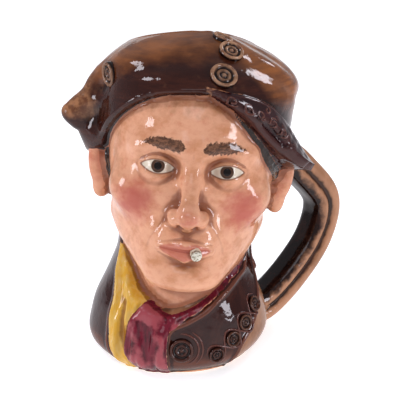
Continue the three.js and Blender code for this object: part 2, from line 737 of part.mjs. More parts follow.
// A short cigarette end held between the lips
function makeStub() {
  const lathe = new THREE.CylinderGeometry(STUB_DIAMETER / 2, STUB_DIAMETER / 2, STUB_LENGTH, 10);
  lathe.rotateX(Math.PI / 2);
  const out = new THREE.Vector3(0.25, -0.93, -0.26).normalize();
  return standOn(geometryToSolid(lathe), fromHead([4, -44.6, -31.6]), out.toArray());
}

const { body, room } = makeVessel();
let jug = body.add(makeHandle().subtract(room));
for (const button of [...CAP_BUTTONS, ...COAT_BUTTONS]) {
  jug = jug.add(makeButton(...button).subtract(room));
}
jug = jug.add(makeStub());

const glaze = new THREE.MeshStandardMaterial({ color: 0x8a5a3c, roughness: 0.12, metalness: 0 });
const mesh = new THREE.Mesh(solidToGeometry(jug.scale(growth)), glaze);
mesh.name = "jug";

const group = new THREE.Group();
group.name = "character_jug";
group.add(mesh);

export default group;
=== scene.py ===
"""A glazed earthenware character jug, dressed over its frame: fine relief, hand-painted colours and gloss.

The head, cap and coat are one distance field, and a net of points is laid on it by rays from the jug's axis.
Lengths are worked out in millimetres and go into the meshes in metres, in the frame's own axes: +Z up, the
face towards -Y.
"""

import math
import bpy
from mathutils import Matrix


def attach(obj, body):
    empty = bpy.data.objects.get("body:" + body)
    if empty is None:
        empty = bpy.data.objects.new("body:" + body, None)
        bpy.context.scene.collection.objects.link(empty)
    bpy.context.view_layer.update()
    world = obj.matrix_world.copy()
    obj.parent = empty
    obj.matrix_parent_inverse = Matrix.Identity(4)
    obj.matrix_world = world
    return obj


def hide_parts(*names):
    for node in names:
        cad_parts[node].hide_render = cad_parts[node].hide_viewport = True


bl_info = {
    "name": "Character Jug",
    "version": (1, 0, 0),
    "blender": (4, 5, 0),
    "location": "3D View > Sidebar > Character Jug",
    "description": "Builds a glazed earthenware character jug with its painted finish and a studio stage",
    "category": "Add Mesh",
}

import bpy
import numpy as np
from bpy.props import FloatProperty, FloatVectorProperty, PointerProperty
from mathutils import Matrix, Vector

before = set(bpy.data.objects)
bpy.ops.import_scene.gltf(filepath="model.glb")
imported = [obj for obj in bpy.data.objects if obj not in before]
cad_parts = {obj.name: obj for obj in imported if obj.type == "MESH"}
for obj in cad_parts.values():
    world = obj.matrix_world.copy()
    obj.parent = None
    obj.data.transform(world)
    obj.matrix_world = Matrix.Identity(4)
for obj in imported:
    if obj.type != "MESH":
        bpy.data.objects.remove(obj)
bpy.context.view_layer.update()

MM = 0.001

# The head stands tilted on the neck; its own frame has its origin midway between the eyes
HEAD_ROLL = math.radians(5.5)
HEAD_PITCH = math.radians(5)
EYE_LINE = (4.2, 0.0, 102.5)

# Vessel
MOUTH_POINT = (4.0, -12.0, 166.3)
MOUTH_SLOPE = math.radians(22)
CROWN_OPENING = 4.0
LIP_LIFT = 1.4
FLOOR_FILLET = 10.0
FOOT_ROUNDING = 1.4
FOOT_CENTRE = (-3.5, 5.0)

# Cap
CAP_ROLL = math.radians(7.4)
CAP_CENTRE = (8.8, 4.0, 138.6)
CAP_RADII = (48.0, 46.5, 23.9)

# Coat collar
COLLAR_TOP = 76.0
COLLAR_DROP = 44.0

# Handle: points in an upright plane turned back from +X, as (distance out from the axis, height)
HANDLE_TURN = math.radians(32)
HANDLE_LINE = ((34, 98), (58, 96), (74.5, 83.5), (88.5, 66), (84.5, 46), (69.5, 27.5), (51, 13.5), (36, 10))

# Buttons, as (angle from the front in degrees, height, diameter, how pale the glaze is, from 0 to 1)
CAP_BUTTONS = ((41.9, 157, 12, 1), (24.2, 148.3, 13, 0.7), (52, 161.5, 10, 0.9), (-68, 145, 12, 0.5))
COAT_BUTTONS = (
    (-2.5, 15.6, 12, 0.05), (20.5, 12, 8, 0.1), (32.5, 18.6, 8, 0.2), (43, 25, 8, 0.25), (55.5, 31.6, 8, 0.2),
)

# Curls of the peak's relief, as (angle, height, radius, direction they start in, turns)
CURLS = (
    (24, 138.6, 2.2, 200, 1.3), (31, 134.6, 2.5, 120, -1.3), (38, 131.4, 2.4, 220, 1.3),
    (45, 126.8, 2.6, 110, -1.3), (51, 121.6, 2.4, 230, 1.3), (44, 132.6, 1.6, 40, 1.1),
)

# The power that makes the handle's section a rounded square, and the flute down each of its sides
SQUARENESS = 0.6
FLUTE_DEPTH = 1.8
FLUTE_WIDTH = 1.8

# Stub: its middle in the head's own frame, and the way it points
STUB_DIAMETER = 5.4
STUB_LENGTH = 8.0
STUB_PLACE = (4, -44.6, -31.6)
STUB_WAY = (0.25, -0.93, -0.26)

# Trim: how far the braid's strands swing, and the thickness of braid, curls and arcs
BRAID_SWING = 5.6 * 0.98
BRAID_RADIUS = 0.7
CURL_RADIUS = 0.75
ARC_RADIUS = 0.65

# Paint: how far the coat's back hides the neck's skin, and how far the crown's thin brown runs down one side
UNDER_COAT = 8
CROWN_WASH = 13

# Net over the form: the axis that its rays leave from, how far out they reach, and its rows and columns
AXIS_LEAN = (5.0, 3.0)
AXIS_TOP = 112.0
SIDE_SHARE = 0.66
CROWN_TURN = math.radians(84)
REACH = 95.0
COLUMNS = 330
ROWS = 236
INNER_ROWS = 26
LIP_ROWS = 7
FOOT_ROWS = 3

# One degree round the jug counts as this many millimetres of cloth
DEGREE = math.radians(42)

# Camera and soft boxes, in metres and watts. A box is its name, place, size and power
CAMERA_TARGET = (0.008, 0, 0.079)
CAMERA_DISTANCE = 0.49
CAMERA_RISE = math.radians(17)
LENS = 87.4
SENSOR = 36
LIGHTS_AIM = (0, 0, 0.09)
LAMP_COLOUR = (0.95, 0.92, 1.0)
SOFT_BOXES = (
    ("left soft box", (-0.98, -0.34, 0.28), (0.24, 0.32), 3.5),
    ("left upper soft box", (-0.72, -0.06, 0.86), (0.24, 0.26), 2.8),
    ("right soft box", (0.9, -0.54, 0.2), (0.2, 0.4), 4.4),
    ("right upper soft box", (0.62, 0.56, 0.76), (0.24, 0.26), 2.2),
    ("front soft box", (-0.1, -1.3, 1.1), (0.9, 0.5), 3.5),
)

# The sweep glows, with no lamp under it, in a wedge that widens towards the back, and fades beyond its edge:
# light painted into the floor, which whitens it and lights the jug
GLOW = 0.62
GLOW_ASIDE = 0.1
GLOW_WIDTH = 0.17
GLOW_SPREAD = 0.22
GLOW_FADE = 0.35


def size_property(name, description, default, least):
    """A length setting, in metres."""
    return FloatProperty(name=name, description=description, default=default, min=least, unit="LENGTH")


class JugSizes(bpy.types.PropertyGroup):
    """Sizes of the jug that a user may change."""

    head_height: size_property("Head height", "Chin to crown, which sets the scale of the face", 0.115, 0.05)
    wall: size_property("Wall", "Thickness of the cast wall", 0.005, 0.002)
    least_wall: size_property("Least wall", "Thickness left where the modelling cuts in", 0.0038, 0.001)
    floor: size_property("Floor", "Thickness of the bottom", 0.006, 0.002)
    cap_stand_off: size_property("Cap stand-off", "How far the band stands off the forehead", 0.005, 0.001)
    peak_lift: size_property("Peak lift", "How far the peak's tip stands off the head", 0.014, 0.002)
    lapel: size_property("Lapel", "Thickness of the lapels and the collar", 0.003, 0.001)
    scarf: size_property("Scarf", "Thickness of the neckerchief at the side", 0.0042, 0.001)
    knot: size_property("Knot", "Thickness of the neckerchief in front", 0.0056, 0.001)
    hair: size_property("Hair", "Thickness of the hair over the temples", 0.0018, 0.0005)
    handle_depth: size_property("Handle depth", "Thickness of the handle across its bow", 0.0175, 0.005)
    handle_width: size_property("Handle width", "Thickness of the handle from side to side", 0.018, 0.005)
    button_rise: size_property("Button rise", "Height of the buttons over the cloth", 0.0017, 0.0005)


def colour_property(name, description, code):
    """A colour setting whose default is an sRGB hex code, kept linear."""
    return FloatVectorProperty(
        name=name, description=description, subtype="COLOR", size=3, min=0, max=1,
        default=linear(code)[:3],
    )


def linear(code):
    """An sRGB hex code as linear red, green, blue and an alpha of 1."""
    parts = [int(code[i:i + 2], 16) / 255 for i in (1, 3, 5)]
    return tuple(c / 12.92 if c <= 0.04045 else ((c + 0.055) / 1.055) ** 2.4 for c in parts) + (1.0,)


class JugColours(bpy.types.PropertyGroup):
    """Underglaze colours of the jug."""

    skin: colour_property("Skin", "Flesh wash", "#DCA280")
    blush: colour_property("Blush", "Red of cheeks and lips", "#AE4B42")
    # Painted shade: this brown is laid in the skin's creases and hollows as shade, and also stands for glaze
    # pooled there
    wash: colour_property("Wash", "Brown that settles in the creases of the skin", "#7A4028")
    hair: colour_property("Hair", "Brown of hair and brows", "#4A3222")
    cap_light: colour_property("Cap, light", "Thin brown on the crown of the cap", "#92582F")
    cap_dark: colour_property("Cap, dark", "Thick brown on the band of the cap", "#2E120C")
    peak: colour_property("Peak", "Purple-brown of the peak", "#260C0D")
    coat: colour_property("Coat", "Brown-black of lapels and collar", "#2B0F0A")
    coat_back: colour_property("Coat, back", "Thin tan of the coat's back and the handle", "#966A4C")
    yellow: colour_property("Scarf, yellow", "Yellow of the neckerchief's side", "#D09E35")
    maroon: colour_property("Scarf, red", "Maroon of the neckerchief's front", "#6A1628")


# Distances. Points are arrays of three rows, x, y and z.


def column(*values):
    return np.array(values, float)[:, None]


def length(p):
    return np.sqrt((p * p).sum(0))


def smooth_min(a, b, k):
    """The smaller of two distances, with a round of size k where they cross."""
    h = np.maximum(k - np.abs(a - b), 0.0) / k
    return np.minimum(a, b) - h * h * k * 0.25


def smooth_max(a, b, k):
    return -smooth_min(-a, -b, k)


def ramp(low, high, x):
    """0 below low, 1 above high, and an S-curve between."""
    t = np.clip((x - low) / (high - low), 0, 1)
    return t * t * (3 - 2 * t)


def bump(x, width):
    """A bell of height 1 round 0."""
    return np.exp(-((x / width) ** 2))


def ellipsoid(p, centre, radii):
    """Distance to an ellipsoid, from its scaled radius and that radius's slope."""
    q = p - column(*centre)
    r = column(*radii)
    near = length(q / r)
    return near * (near - 1.0) / np.maximum(length(q / (r * r)), 1e-9)


def cone(p, start, end, start_radius, end_radius):
    """Distance to a cone with round ends: the distance to its axis less a radius that changes along it."""
    a = column(*start)
    axis = column(*end) - a
    t = np.clip(((p - a) * axis).sum(0) / (axis * axis).sum(), 0, 1)
    return length(p - a - axis * t) - (start_radius + (end_radius - start_radius) * t)


def mirrored(p):
    """Both sides of the head as one, with a small round where they meet."""
    return np.vstack([np.hypot(p[0], 0.5), p[1], p[2]])


def turn(axis, angle):
    return np.array(Matrix.Rotation(angle, 3, axis))


def line(*knots):
    """A smooth line through given knots (x, y): cubic pieces whose slopes come from their neighbours."""
    x, y = np.array(knots, float).T
    h = np.diff(x)
    slopes = np.empty(len(x))
    slopes[1:-1] = (y[2:] - y[:-2]) / (x[2:] - x[:-2])
    slopes[0] = (y[1] - y[0]) / h[0]
    slopes[-1] = (y[-1] - y[-2]) / h[-1]
    fine = np.linspace(x[0], x[-1], 120)
    i = np.clip(np.searchsorted(x, fine, "right") - 1, 0, len(h) - 1)
    t = (fine - x[i]) / h[i]
    rise = y[i + 1] - y[i]
    start = slopes[i] * h[i] - rise
    end = rise - slopes[i + 1] * h[i]
    value = y[i] + t * rise + t * (1 - t) * ((1 - t) * start + t * end)
    return fine, value, np.gradient(value, fine)


def at(curve, x):
    return np.interp(x, curve[0], curve[1])


def past(curve, x, y, step=1.0):
    """How far (x, y) lies past the line y = f(x), measured square to it, with y in steps of that many mm."""
    slope = np.interp(x, curve[0], curve[2]) * step
    return (y - at(curve, x)) * step / np.sqrt(1 + slope * slope)


# Seams of the garments, as heights in millimetres and angles in degrees from the front. Those of the lapels,
# the scarf and the neckline lie off the solid's, by up to 20 mm
LAPEL_FRONT = line(
    (-2, -14.5), (10, -14), (20, -13.5), (26, -11), (30, -2), (34.5, 10), (39.5, 21), (46, 38), (50, 54),
    (60, 64), (76, 72),
)
LAPEL_BACK = line(
    (-2, 35), (4, 37), (9, 39), (14, 42), (20, 50), (28, 60), (35, 70), (45, 84), (60, 98), (76, 108),
)
OTHER_FRONT = line(
    (-2, -50), (9, -50.5), (20, -51.5), (28, -52.5), (36, -52.5), (43, -56), (50, -62), (60, -64), (76, -60),
)
OTHER_BACK = line((-2, -100), (20, -108), (40, -118), (76, -130))
SCARF_SEAM = line((-2, -37), (9, -38.5), (15, -39.5), (22, -39), (30, -36), (37, -29))
NECK_LINE = line(
    (-75, 70), (-60, 56.5), (-51, 50.4), (-38, 41), (-25, 35.8), (-12, 32), (-4, 33), (8, 36.5), (19, 40.5),
    (32, 46), (43, 53), (66, 74),
)
COAT_TOP = line(
    (-180, 74), (-75, 72), (-60, 58), (-40, 42), (-20, 34), (0, 36.5), (43, 53), (80, 74), (180, 74),
)
HAIR_RIGHT = line((88, 84), (95, 68), (103.6, 54), (112.7, 45), (121.6, 37), (132, 28), (142, 22))
HAIR_LEFT = line((88, -84), (100, -79), (107, -80), (115, -75), (125, -57), (135, -45))
PEAK_TOP = line((8, 145), (24, 140.5), (34, 138.5), (48, 133), (62, 124), (76, 115), (90, 106), (104, 98))
PEAK_LOW = line((8, 143), (24, 136), (34, 127.5), (48, 114), (62, 103.5), (76, 98), (90, 96), (104, 95))
COAT_WIDTH = line(
    (-5, 35), (0, 37.5), (4, 41), (9, 43.6), (14, 44.6),
    (22, 43.4), (30, 41), (46, 33.4), (57, 30.6), (90, 29.5),
)
COAT_DEPTH = line(
    (-5, 34), (0, 36.5), (4, 38.4), (9, 39.4), (14, 39.6),
    (22, 39), (34, 38), (46, 36.5), (60, 36), (90, 36),
)
COAT_MIDDLE_X = line((-5, -4.5), (0, -3.5), (8, -2.4), (20, -1.4), (46, -1.6), (60, 0), (90, 0.8))
COAT_MIDDLE_Y = line((-5, 6.5), (0, 5), (5, 2.8), (12, 1.6), (30, 2), (74, 4), (90, 4))

# The cap's lower edge and the crease above its band: heights in head units by the angle round the head
CAP_EDGE = line(
    (-180, -4), (-120, -4), (-97, -3.5), (-87, -1), (-74, 7), (-56, 16.2), (-39, 23.6), (-25, 27.9), (-9, 30),
    (9, 30.4), (25, 29.6), (45, 23), (62, 14), (80, 5), (95, 1), (120, -2), (180, -4),
)
CREASE = line(
    (-120, 20), (-80, 26), (-70, 30), (-47, 35), (-34, 38), (-18, 40.6), (0, 42.4), (20, 43.5), (60, 36),
    (80, 30), (120, 22),
)

HEAD_TURN = turn("Y", HEAD_ROLL) @ turn("X", -HEAD_PITCH)
CAP_TURN = turn("Y", CAP_ROLL)
EYE = (13.7, -32.9, 0.0)
EYE_RADIUS = 6.1
LIP_HEIGHT = -31.0


class JugForm:
    """The jug's outer form and hollow as distances in millimetres."""

    def __init__(self, sizes):
        self.unit = sizes.head_height / MM / 100
        self.wall = sizes.wall / MM
        self.least_wall = sizes.least_wall / MM
        self.floor = sizes.floor / MM
        self.cap_stand_off = sizes.cap_stand_off / MM
        self.peak_lift = sizes.peak_lift / MM
        self.lapel = sizes.lapel / MM
        self.scarf = sizes.scarf / MM
        self.knot = sizes.knot / MM
        self.hair_thickness = sizes.hair / MM
        self.handle_depth = sizes.handle_depth / MM
        self.handle_width = sizes.handle_width / MM

    def to_head(self, p):
        """Points in the head's own frame, in hundredths of its height."""
        return HEAD_TURN.T @ (p - column(*EYE_LINE)) / self.unit

    def from_head(self, q):
        return HEAD_TURN @ (q * self.unit) + column(*EYE_LINE)

    def skull(self, q):
        """Skull, cheeks, jaw and chin: ellipsoids and a cone along each side of the jaw."""
        m = mirrored(q)
        d = ellipsoid(q, (0, 2, 12), (36, 44, 38))
        d = smooth_min(d, ellipsoid(q, (0, -8, -10), (33, 32, 35)), 10)
        d = smooth_min(d, ellipsoid(q, (0, -26, -29), (18.5, 18, 14)), 8)
        d = smooth_min(d, cone(m, (25.5, 1, -27), (9.5, -32, -42.5), 7, 7), 10)
        d = smooth_min(d, ellipsoid(q, (0, -34, -43.5), (10.5, 10.5, 7.2)), 6)
        return smooth_min(d, ellipsoid(m, (23, -24, -11), (9.5, 9, 8)), 8)

    def nose(self, q, around):
        """Bridge, tip and wings, with the nostrils cut in under them."""
        m = mirrored(q)
        d = cone(q, (0, -37.5, 3), (0, -46.5, -13.5), 2.8, 3.6)
        d = smooth_min(d, ellipsoid(q, (0, -48.8, -16.6), (4.5, 4.5, 4.5)), 3)
        d = smooth_min(d, ellipsoid(m, (5, -44, -18.2), (3.4, 4.8, 3.4)), 2.4)
        d = smooth_min(around, d, 4)
        d = smooth_min(d, cone(q, (0, -47.5, -20), (0, -44.5, -22), 1.8, 2.2), 2)
        return smooth_max(d, -ellipsoid(m, (2.9, -46.3, -21.6), (1.5, 2.6, 1.6)), 1)

    def lips(self, q, around):
        """Two rounded lips and the line between them."""
        m = mirrored(q)
        upper = cone(m, (0.8, -45.3, LIP_HEIGHT + 1.9), (10.5, -40.5, LIP_HEIGHT + 0.2), 1.9, 0.7)
        lower = cone(m, (0, -45.2, LIP_HEIGHT - 2.6), (10, -40.6, LIP_HEIGHT - 0.5), 2.5, 0.8)
        d = smooth_min(smooth_min(around, upper, 1.6), lower, 1.8)
        slit = np.maximum(np.abs(q[2] - LIP_HEIGHT) - 0.35, np.maximum(m[0] - 11, q[1] + 30))
        return smooth_max(d, -smooth_max(slit, -(d + 1.3), 0.3), 0.9)

    def eye_opening(self, q):
        """Distance to the opening of the lids: a lens between an upper and a lower arc."""
        half, above, below = 6.9, 3.1, 2.1
        upper = (half ** 2 + above ** 2) / (2 * above)
        lower = (half ** 2 + below ** 2) / (2 * below)
        m = mirrored(q)
        x = m[0] - EYE[0]
        z = m[2] - EYE[2] - 0.06 * x
        return np.maximum(np.hypot(x, z - above + upper) - upper, np.hypot(x, z + below - lower) - lower)

    def eyes(self, q, around):
        """Lids as a shell over the eyeball, opened by the lens, with a fold above the upper lid."""
        m = mirrored(q)
        ball = length(m - column(*EYE)) - EYE_RADIUS
        lens = np.maximum(self.eye_opening(q), m[1] + 25)
        d = smooth_min(around, ball - 1.0, 2.2)
        fold = np.abs(np.hypot(m[0] - EYE[0], (m[2] + 7.2) * 0.86) - 10.6)
        crease = 0.5 * bump(fold, 0.7) * ramp(1.5, 3.5, m[2])
        d = d + crease * ramp(9, 6.5, np.abs(m[0] - EYE[0])) * (q[1] < 0)
        d = smooth_max(d, -lens, 0.5)
        return smooth_min(d, ball, 0.3)

    def face(self, q, around):
        """Brow, sockets, nose, lips and eyes, with folds beside the mouth and a groove under the nose."""
        m = mirrored(q)
        d = smooth_min(around, cone(m, (4, -38.5, 8.5), (21, -31, 7.5), 3.4, 3), 6)
        d = smooth_max(d, -ellipsoid(m, (13.7, -41.5, 0), (9.5, 6.5, 6.2)), 5)
        d = self.nose(q, d)
        front = q[1] < -20
        fold_x = at(line((-34, 15.5), (-29, 14.2), (-24, 11.6), (-19, 8.6)), q[2])
        fold = bump(m[0] - fold_x, 1.5) * ramp(-36, -31, q[2]) * ramp(-17, -20, q[2])
        groove = bump(q[0], 1.7) * ramp(-30, -28, q[2]) * ramp(-22, -24, q[2])
        chin = bump(q[2] + 37.6, 1.8) * bump(q[0], 7)
        d = d + (0.4 * fold + 0.5 * groove + 0.5 * chin) * front
        return self.eyes(q, self.lips(q, d))

    def ear(self, q):
        """A shell with a hollow and a rolled rim."""
        tilt = turn("X", math.radians(-10)) @ turn("Z", math.radians(-40))
        e = tilt @ (mirrored(q) - column(37.6, 5, -6.5))
        d = ellipsoid(e, (0, 1, 0.5), (5.4, 10, 15))
        d = smooth_min(d, ellipsoid(e, (0.8, -2.5, -12), (3, 4, 4.5)), 3)
        round_ear = np.hypot((e[1] - 0.5) / 8.4, (e[2] - 0.8) / 13)
        rim = np.hypot((round_ear - 0.88) * 9.5, e[0] - 3) - 1.6
        rim = smooth_max(rim, -7.5 - e[2], 1.5)
        rim = smooth_max(rim, 4 - e[2] - (e[1] + 3.5) * 1.2, 1.5)
        d = smooth_max(d, -ellipsoid(e, (5.2, -0.5, 0.8), (3.2, 5.6, 8.8)), 1.6)
        return smooth_min(d, rim, 1.4)

    def neck(self, p):
        around = np.hypot((p[0] - 1) / 30.5, (p[1] - 3) / 37)
        return smooth_max((around - 1) * 30.5, p[2] - 86, 8)

    def shell(self, p):
        """The coat's plain surface: an ellipse at each height, whose centre moves back towards the nape."""
        width = at(COAT_WIDTH, p[2])
        depth = at(COAT_DEPTH, p[2])
        x = p[0] - at(COAT_MIDDLE_X, p[2])
        y = p[1] - at(COAT_MIDDLE_Y, p[2])
        return (np.hypot(x / width, y / depth) - 1) * np.minimum(width, depth) * 0.95

    def relief(self, z):
        """The share of the garments' relief that is left near the foot."""
        return 0.45 + 0.55 * ramp(-1, 9, z)

    def lapels(self, base, angle, z):
        """Lapels and collar, raised from the coat, with a rolled hem along the free edge."""
        front = -past(LAPEL_FRONT, z, angle, DEGREE)
        right = np.maximum(front, past(LAPEL_BACK, z, angle, DEGREE))
        left = np.maximum(-past(OTHER_BACK, z, angle, DEGREE), past(OTHER_FRONT, z, angle, DEGREE))
        dip = 4 * np.cos(np.radians(2 * angle))
        collar = np.maximum(COLLAR_DROP + dip - z, (92 - np.abs(angle)) * DEGREE)
        region = smooth_max(smooth_min(smooth_min(right, left, 1), collar, 5), z - COLLAR_TOP, 2)
        hem = 0.9 * bump(region + 2.0, 1.1)
        thickness = (self.lapel + 0.6 * ramp(50, COLLAR_TOP, z) + hem) * self.relief(z)
        return smooth_max(base - thickness, region, 1.8)

    def side_scarf(self, base, angle, z):
        """The neckerchief's side, in folds that run down beside the lapel."""
        from_lapel = past(OTHER_FRONT, z, angle, DEGREE) - 2
        seam = past(SCARF_SEAM, z, angle, DEGREE)
        under_neck = past(NECK_LINE, angle, z)
        folds = 1.2 * np.sin(from_lapel * 0.66 + z * 0.06) + 0.5 * np.sin(from_lapel * 1.5 - z * 0.1)
        region = np.maximum(np.maximum(-from_lapel - 3, seam), under_neck)
        return smooth_max(base - (self.scarf + folds) * self.relief(z), region, 2.6)

    def front_scarf(self, base, angle, z):
        """The neckerchief's front, which fans out in pleats below its knot."""
        seam = past(SCARF_SEAM, z, angle, DEGREE)
        to_lapel = past(LAPEL_FRONT, z, angle, DEGREE) - 1.5
        under_neck = past(NECK_LINE, angle, z)
        across = (angle + 30) * DEGREE
        pleats = 0.7 * np.sin(across * 0.62 + z * 0.1) + 0.35 * np.sin(across * 1.5 - z * 0.2 + 1)
        tuck = ramp(22, 32, z)
        thick = self.knot - 3.4 * tuck * ramp(-26, -8, angle) + pleats * (1 - 0.7 * tuck)
        region = np.maximum(np.maximum(-seam, to_lapel), under_neck)
        return smooth_max(base - thick * self.relief(z), region, 2.4)

    def cap(self, p, q, head, head_angle):
        """A flat crown over a rolled band, drawn out to a point on one side."""
        w = CAP_TURN.T @ (p - column(*CAP_CENTRE))
        d = ellipsoid(w, (0, 0, 0), CAP_RADII)
        band = smooth_min(head - self.cap_stand_off, ellipsoid(w, (0, 0.5, -8.7), (45.6, 44.5, 23.4)), 6)
        d = smooth_min(d, band, 2.5)
        point = cone(w, (-44.2, 1, -9.7), (-62.2, -1, -23), 12, 4.7)
        under_point = cone(w, (-48.2, 2, -29.7), (-56.4, -1, -26.9), 13.8, 5)
        d = smooth_min(d, smooth_min(point, under_point, 6), 9)
        above = (q[2] - at(CREASE, head_angle)) * self.unit
        crease = 1.2 * bump(above, 4.2) - 0.3 * bump(above - 8, 4)
        pleats = 0.35 * np.sin(np.radians(head_angle) * 9 + above * 0.22) * bump(above - 9, 8)
        d = d + (crease + pleats) * ramp(112, 96, np.abs(head_angle))
        return smooth_max(d, -past(CAP_EDGE, head_angle, q[2]) * self.unit, 1.6)

    def peak(self, base, angle, z):
        """The peak: a leaf that stands off more towards its lower edge, with a rolled hem and, over its outer
        half, rows of low scales."""
        over = past(PEAK_TOP, angle, z)
        under = past(PEAK_LOW, angle, z)
        share = np.clip(-over / np.maximum(under - over, 1e-3), 0, 1.2)
        ends = ramp(12, 34, angle) * (1 - ramp(84, 100, angle))
        lift = (2 + share * (5 + (self.peak_lift - 5) * ramp(36, 78, angle))) * ends
        hem = 1.4 * bump(under - 2.2, 1.7) * ends
        scales = np.abs(np.sin(angle * DEGREE * 0.62 + z * 0.25) * np.cos(z * 0.62 - angle * DEGREE * 0.2))
        scales = 0.55 * scales * ramp(40, 56, angle) * ramp(3.2, 5, under) * ramp(0, 3, -over) * ends
        region = np.maximum(np.maximum(over - 1, -under), np.maximum(12 - angle, angle - 104) * DEGREE)
        return smooth_max(base - lift - hem - scales, region, 1.3)

    def hair(self, head, angle, z):
        """Hair at the temples and the nape, in combed strands."""
        right = -past(HAIR_RIGHT, z, angle, DEGREE)
        left = past(HAIR_LEFT, z, angle, DEGREE)
        temples = np.maximum(np.minimum(right, left), 91 - z)
        nape = np.maximum((104 - np.abs(angle)) * DEGREE, 66 - z)
        strands = 0.3 * np.sin(angle * 1.9 + z * 0.8) + 0.2 * np.sin(angle * 3.1 - z * 0.4 + 1)
        return smooth_max(head - self.hair_thickness - strands, smooth_min(temples, nape, 3), 1.4)

    def handle_roots(self, p):
        """The flares by which the handle's ends run into the body."""
        points = handle_points()
        top = cone(p, points[0], points[1], self.handle_width * 0.66, self.handle_depth * 0.4)
        low = cone(p, points[-1], points[-2], self.handle_depth * 0.54, self.handle_depth * 0.4)
        return np.minimum(top, low)

    def layers(self, p):
        """The distance to each painted layer, by name."""
        q = self.to_head(p)
        angle = np.degrees(np.arctan2(p[0] - 1, 2 - p[1]))
        head_angle = np.degrees(np.arctan2(q[0], -q[1]))
        bare = self.skull(q)
        head = bare * self.unit
        base = self.shell(p)
        z = p[2]
        skin = smooth_min(self.face(q, bare) * self.unit, self.neck(p), 7)
        cap = self.cap(p, q, head, head_angle)
        return {
            "skin": smooth_min(skin, self.ear(q) * self.unit, 3.5),
            "hair": self.hair(head, angle, z),
            "back": smooth_max(base, past(COAT_TOP, angle, z), 3),
            "lapel": self.lapels(base, angle, z),
            "yellow": self.side_scarf(base, angle, z),
            "maroon": self.front_scarf(base, angle, z),
            "cap": cap,
            "peak": self.peak(smooth_min(head, cap, 2), angle, z),
            "roots": self.handle_roots(p),
        }

    def outside(self, p):
        """The whole outer form: the layers joined with small rounds, and the handle's roots."""
        parts = self.layers(p)
        d = parts["skin"]
        for name, rounding in (
            ("hair", 1.2), ("back", 1.5), ("lapel", 1.0), ("yellow", 1.0),
            ("maroon", 1.0), ("cap", 1.0), ("peak", 1.0),
        ):
            d = smooth_min(d, parts[name], rounding)
        return smooth_min(d, parts["roots"], 7)

    def hollow(self, p):
        """The hollow: a plain body's skin moved in by the wall, and never too near the outer form."""
        d = smooth_min(self.skull(self.to_head(p)) * self.unit, self.neck(p), 8)
        d = smooth_min(d, smooth_max(self.shell(p), p[2] - 60, 10), 12)
        radii = (CAP_RADII[0], CAP_RADII[1], CAP_RADII[2] + CROWN_OPENING)
        w = CAP_TURN.T @ (p - column(*CAP_CENTRE))
        d = smooth_min(d, ellipsoid(w, (0, 0, 0), radii), 8)
        d = smooth_max(d + self.wall, self.outside(p) + self.least_wall, 2)
        return smooth_max(d, self.floor - p[2], FLOOR_FILLET)


def handle_points():
    """The handle's line in space, from its plane's two coordinates."""
    return [(out * math.cos(HANDLE_TURN), out * math.sin(HANDLE_TURN), z) for out, z in HANDLE_LINE]


def rounded_square(a, depth, width):
    """The handle's section at the angles a: cosine and sine, each drawn outwards by a power below 1."""
    across = np.sign(np.cos(a)) * np.abs(np.cos(a)) ** SQUARENESS * depth / 2
    side = np.sign(np.sin(a)) * np.abs(np.sin(a)) ** SQUARENESS * width / 2
    return across, side


def gradient(field, p):
    """The slope of a field from its values at the corners of a small tetrahedron."""
    e = 0.05
    total = 0
    for corner in ((1, -1, -1), (-1, -1, 1), (-1, 1, -1), (1, 1, 1)):
        k = column(*corner)
        total = total + k * field(p + e * k)
    return total / (4 * e)


# The net: columns round the jug, rows from the foot to the mouth


def spread(count, closed, density):
    """Numbers from 0 to 1 that lie closer together where the density is higher, from its running sum."""
    fine = (np.arange(2000) + 0.5) / 2000
    sums = np.concatenate([[0], np.cumsum(density(fine))])
    wanted = (np.arange(count) + 0.5) / count if closed else np.arange(count) / (count - 1)
    return np.interp(wanted * sums[-1], sums, np.arange(2001) / 2000)


def column_density(share):
    angle = 360 * share - 180
    return 1 + 1.5 * bump(angle, 50) + 1.3 * bump(angle + 86, 11) + 0.5 * bump(angle - 80, 18)


def row_density(share):
    return 1 + 0.5 * bump(share - 0.5, 0.2) + 0.8 * bump(share - 0.75, 0.07)


def rays(angle, v):
    """Rays from the leaning axis: level up the side, then tipping over the crown."""
    side = np.clip(v / SIDE_SHARE, 0, 1)
    tip = CROWN_TURN * np.clip((v - SIDE_SHARE) / (1 - SIDE_SHARE), 0, 1)
    up = FOOT_ROUNDING + (AXIS_TOP - FOOT_ROUNDING) * side
    origin = np.stack([AXIS_LEAN[0] * side, AXIS_LEAN[1] * side, up])
    away = np.stack([np.sin(angle) * np.cos(tip), -np.cos(angle) * np.cos(tip), np.sin(tip)])
    return origin, away


def inner_rays(form, angle, v):
    """The same rays for the hollow, which tip down onto the floor where v is below 0."""
    origin, away = rays(angle, np.maximum(v, 0))
    low = form.floor + FLOOR_FILLET
    origin[2] = np.maximum(origin[2], low)
    tip = np.radians(80) * np.minimum(v, 0)
    down = np.stack([np.sin(angle) * np.cos(tip), -np.cos(angle) * np.cos(tip), np.sin(tip)])
    return origin, np.where(v < 0, down, away)


def hit_from_outside(field, origin, away, times=55):
    """The first surface met on the way in, by steps as long as the distance allows."""
    t = np.full(origin.shape[1], REACH)
    for _ in range(times):
        t = np.clip(t - 0.8 * field(origin + away * t), 2, REACH)
    return origin + away * t


def hit_from_inside(field, origin, away, times=55):
    t = np.full(origin.shape[1], 1.0)
    for _ in range(times):
        t = np.clip(t - 0.85 * field(origin + away * t), 0.5, REACH)
    return origin + away * t


def above_mouth(p):
    """Height over the plane that cuts the mouth."""
    return (p[1] - MOUTH_POINT[1]) * math.sin(MOUTH_SLOPE) + (p[2] - MOUTH_POINT[2]) * math.cos(MOUTH_SLOPE)


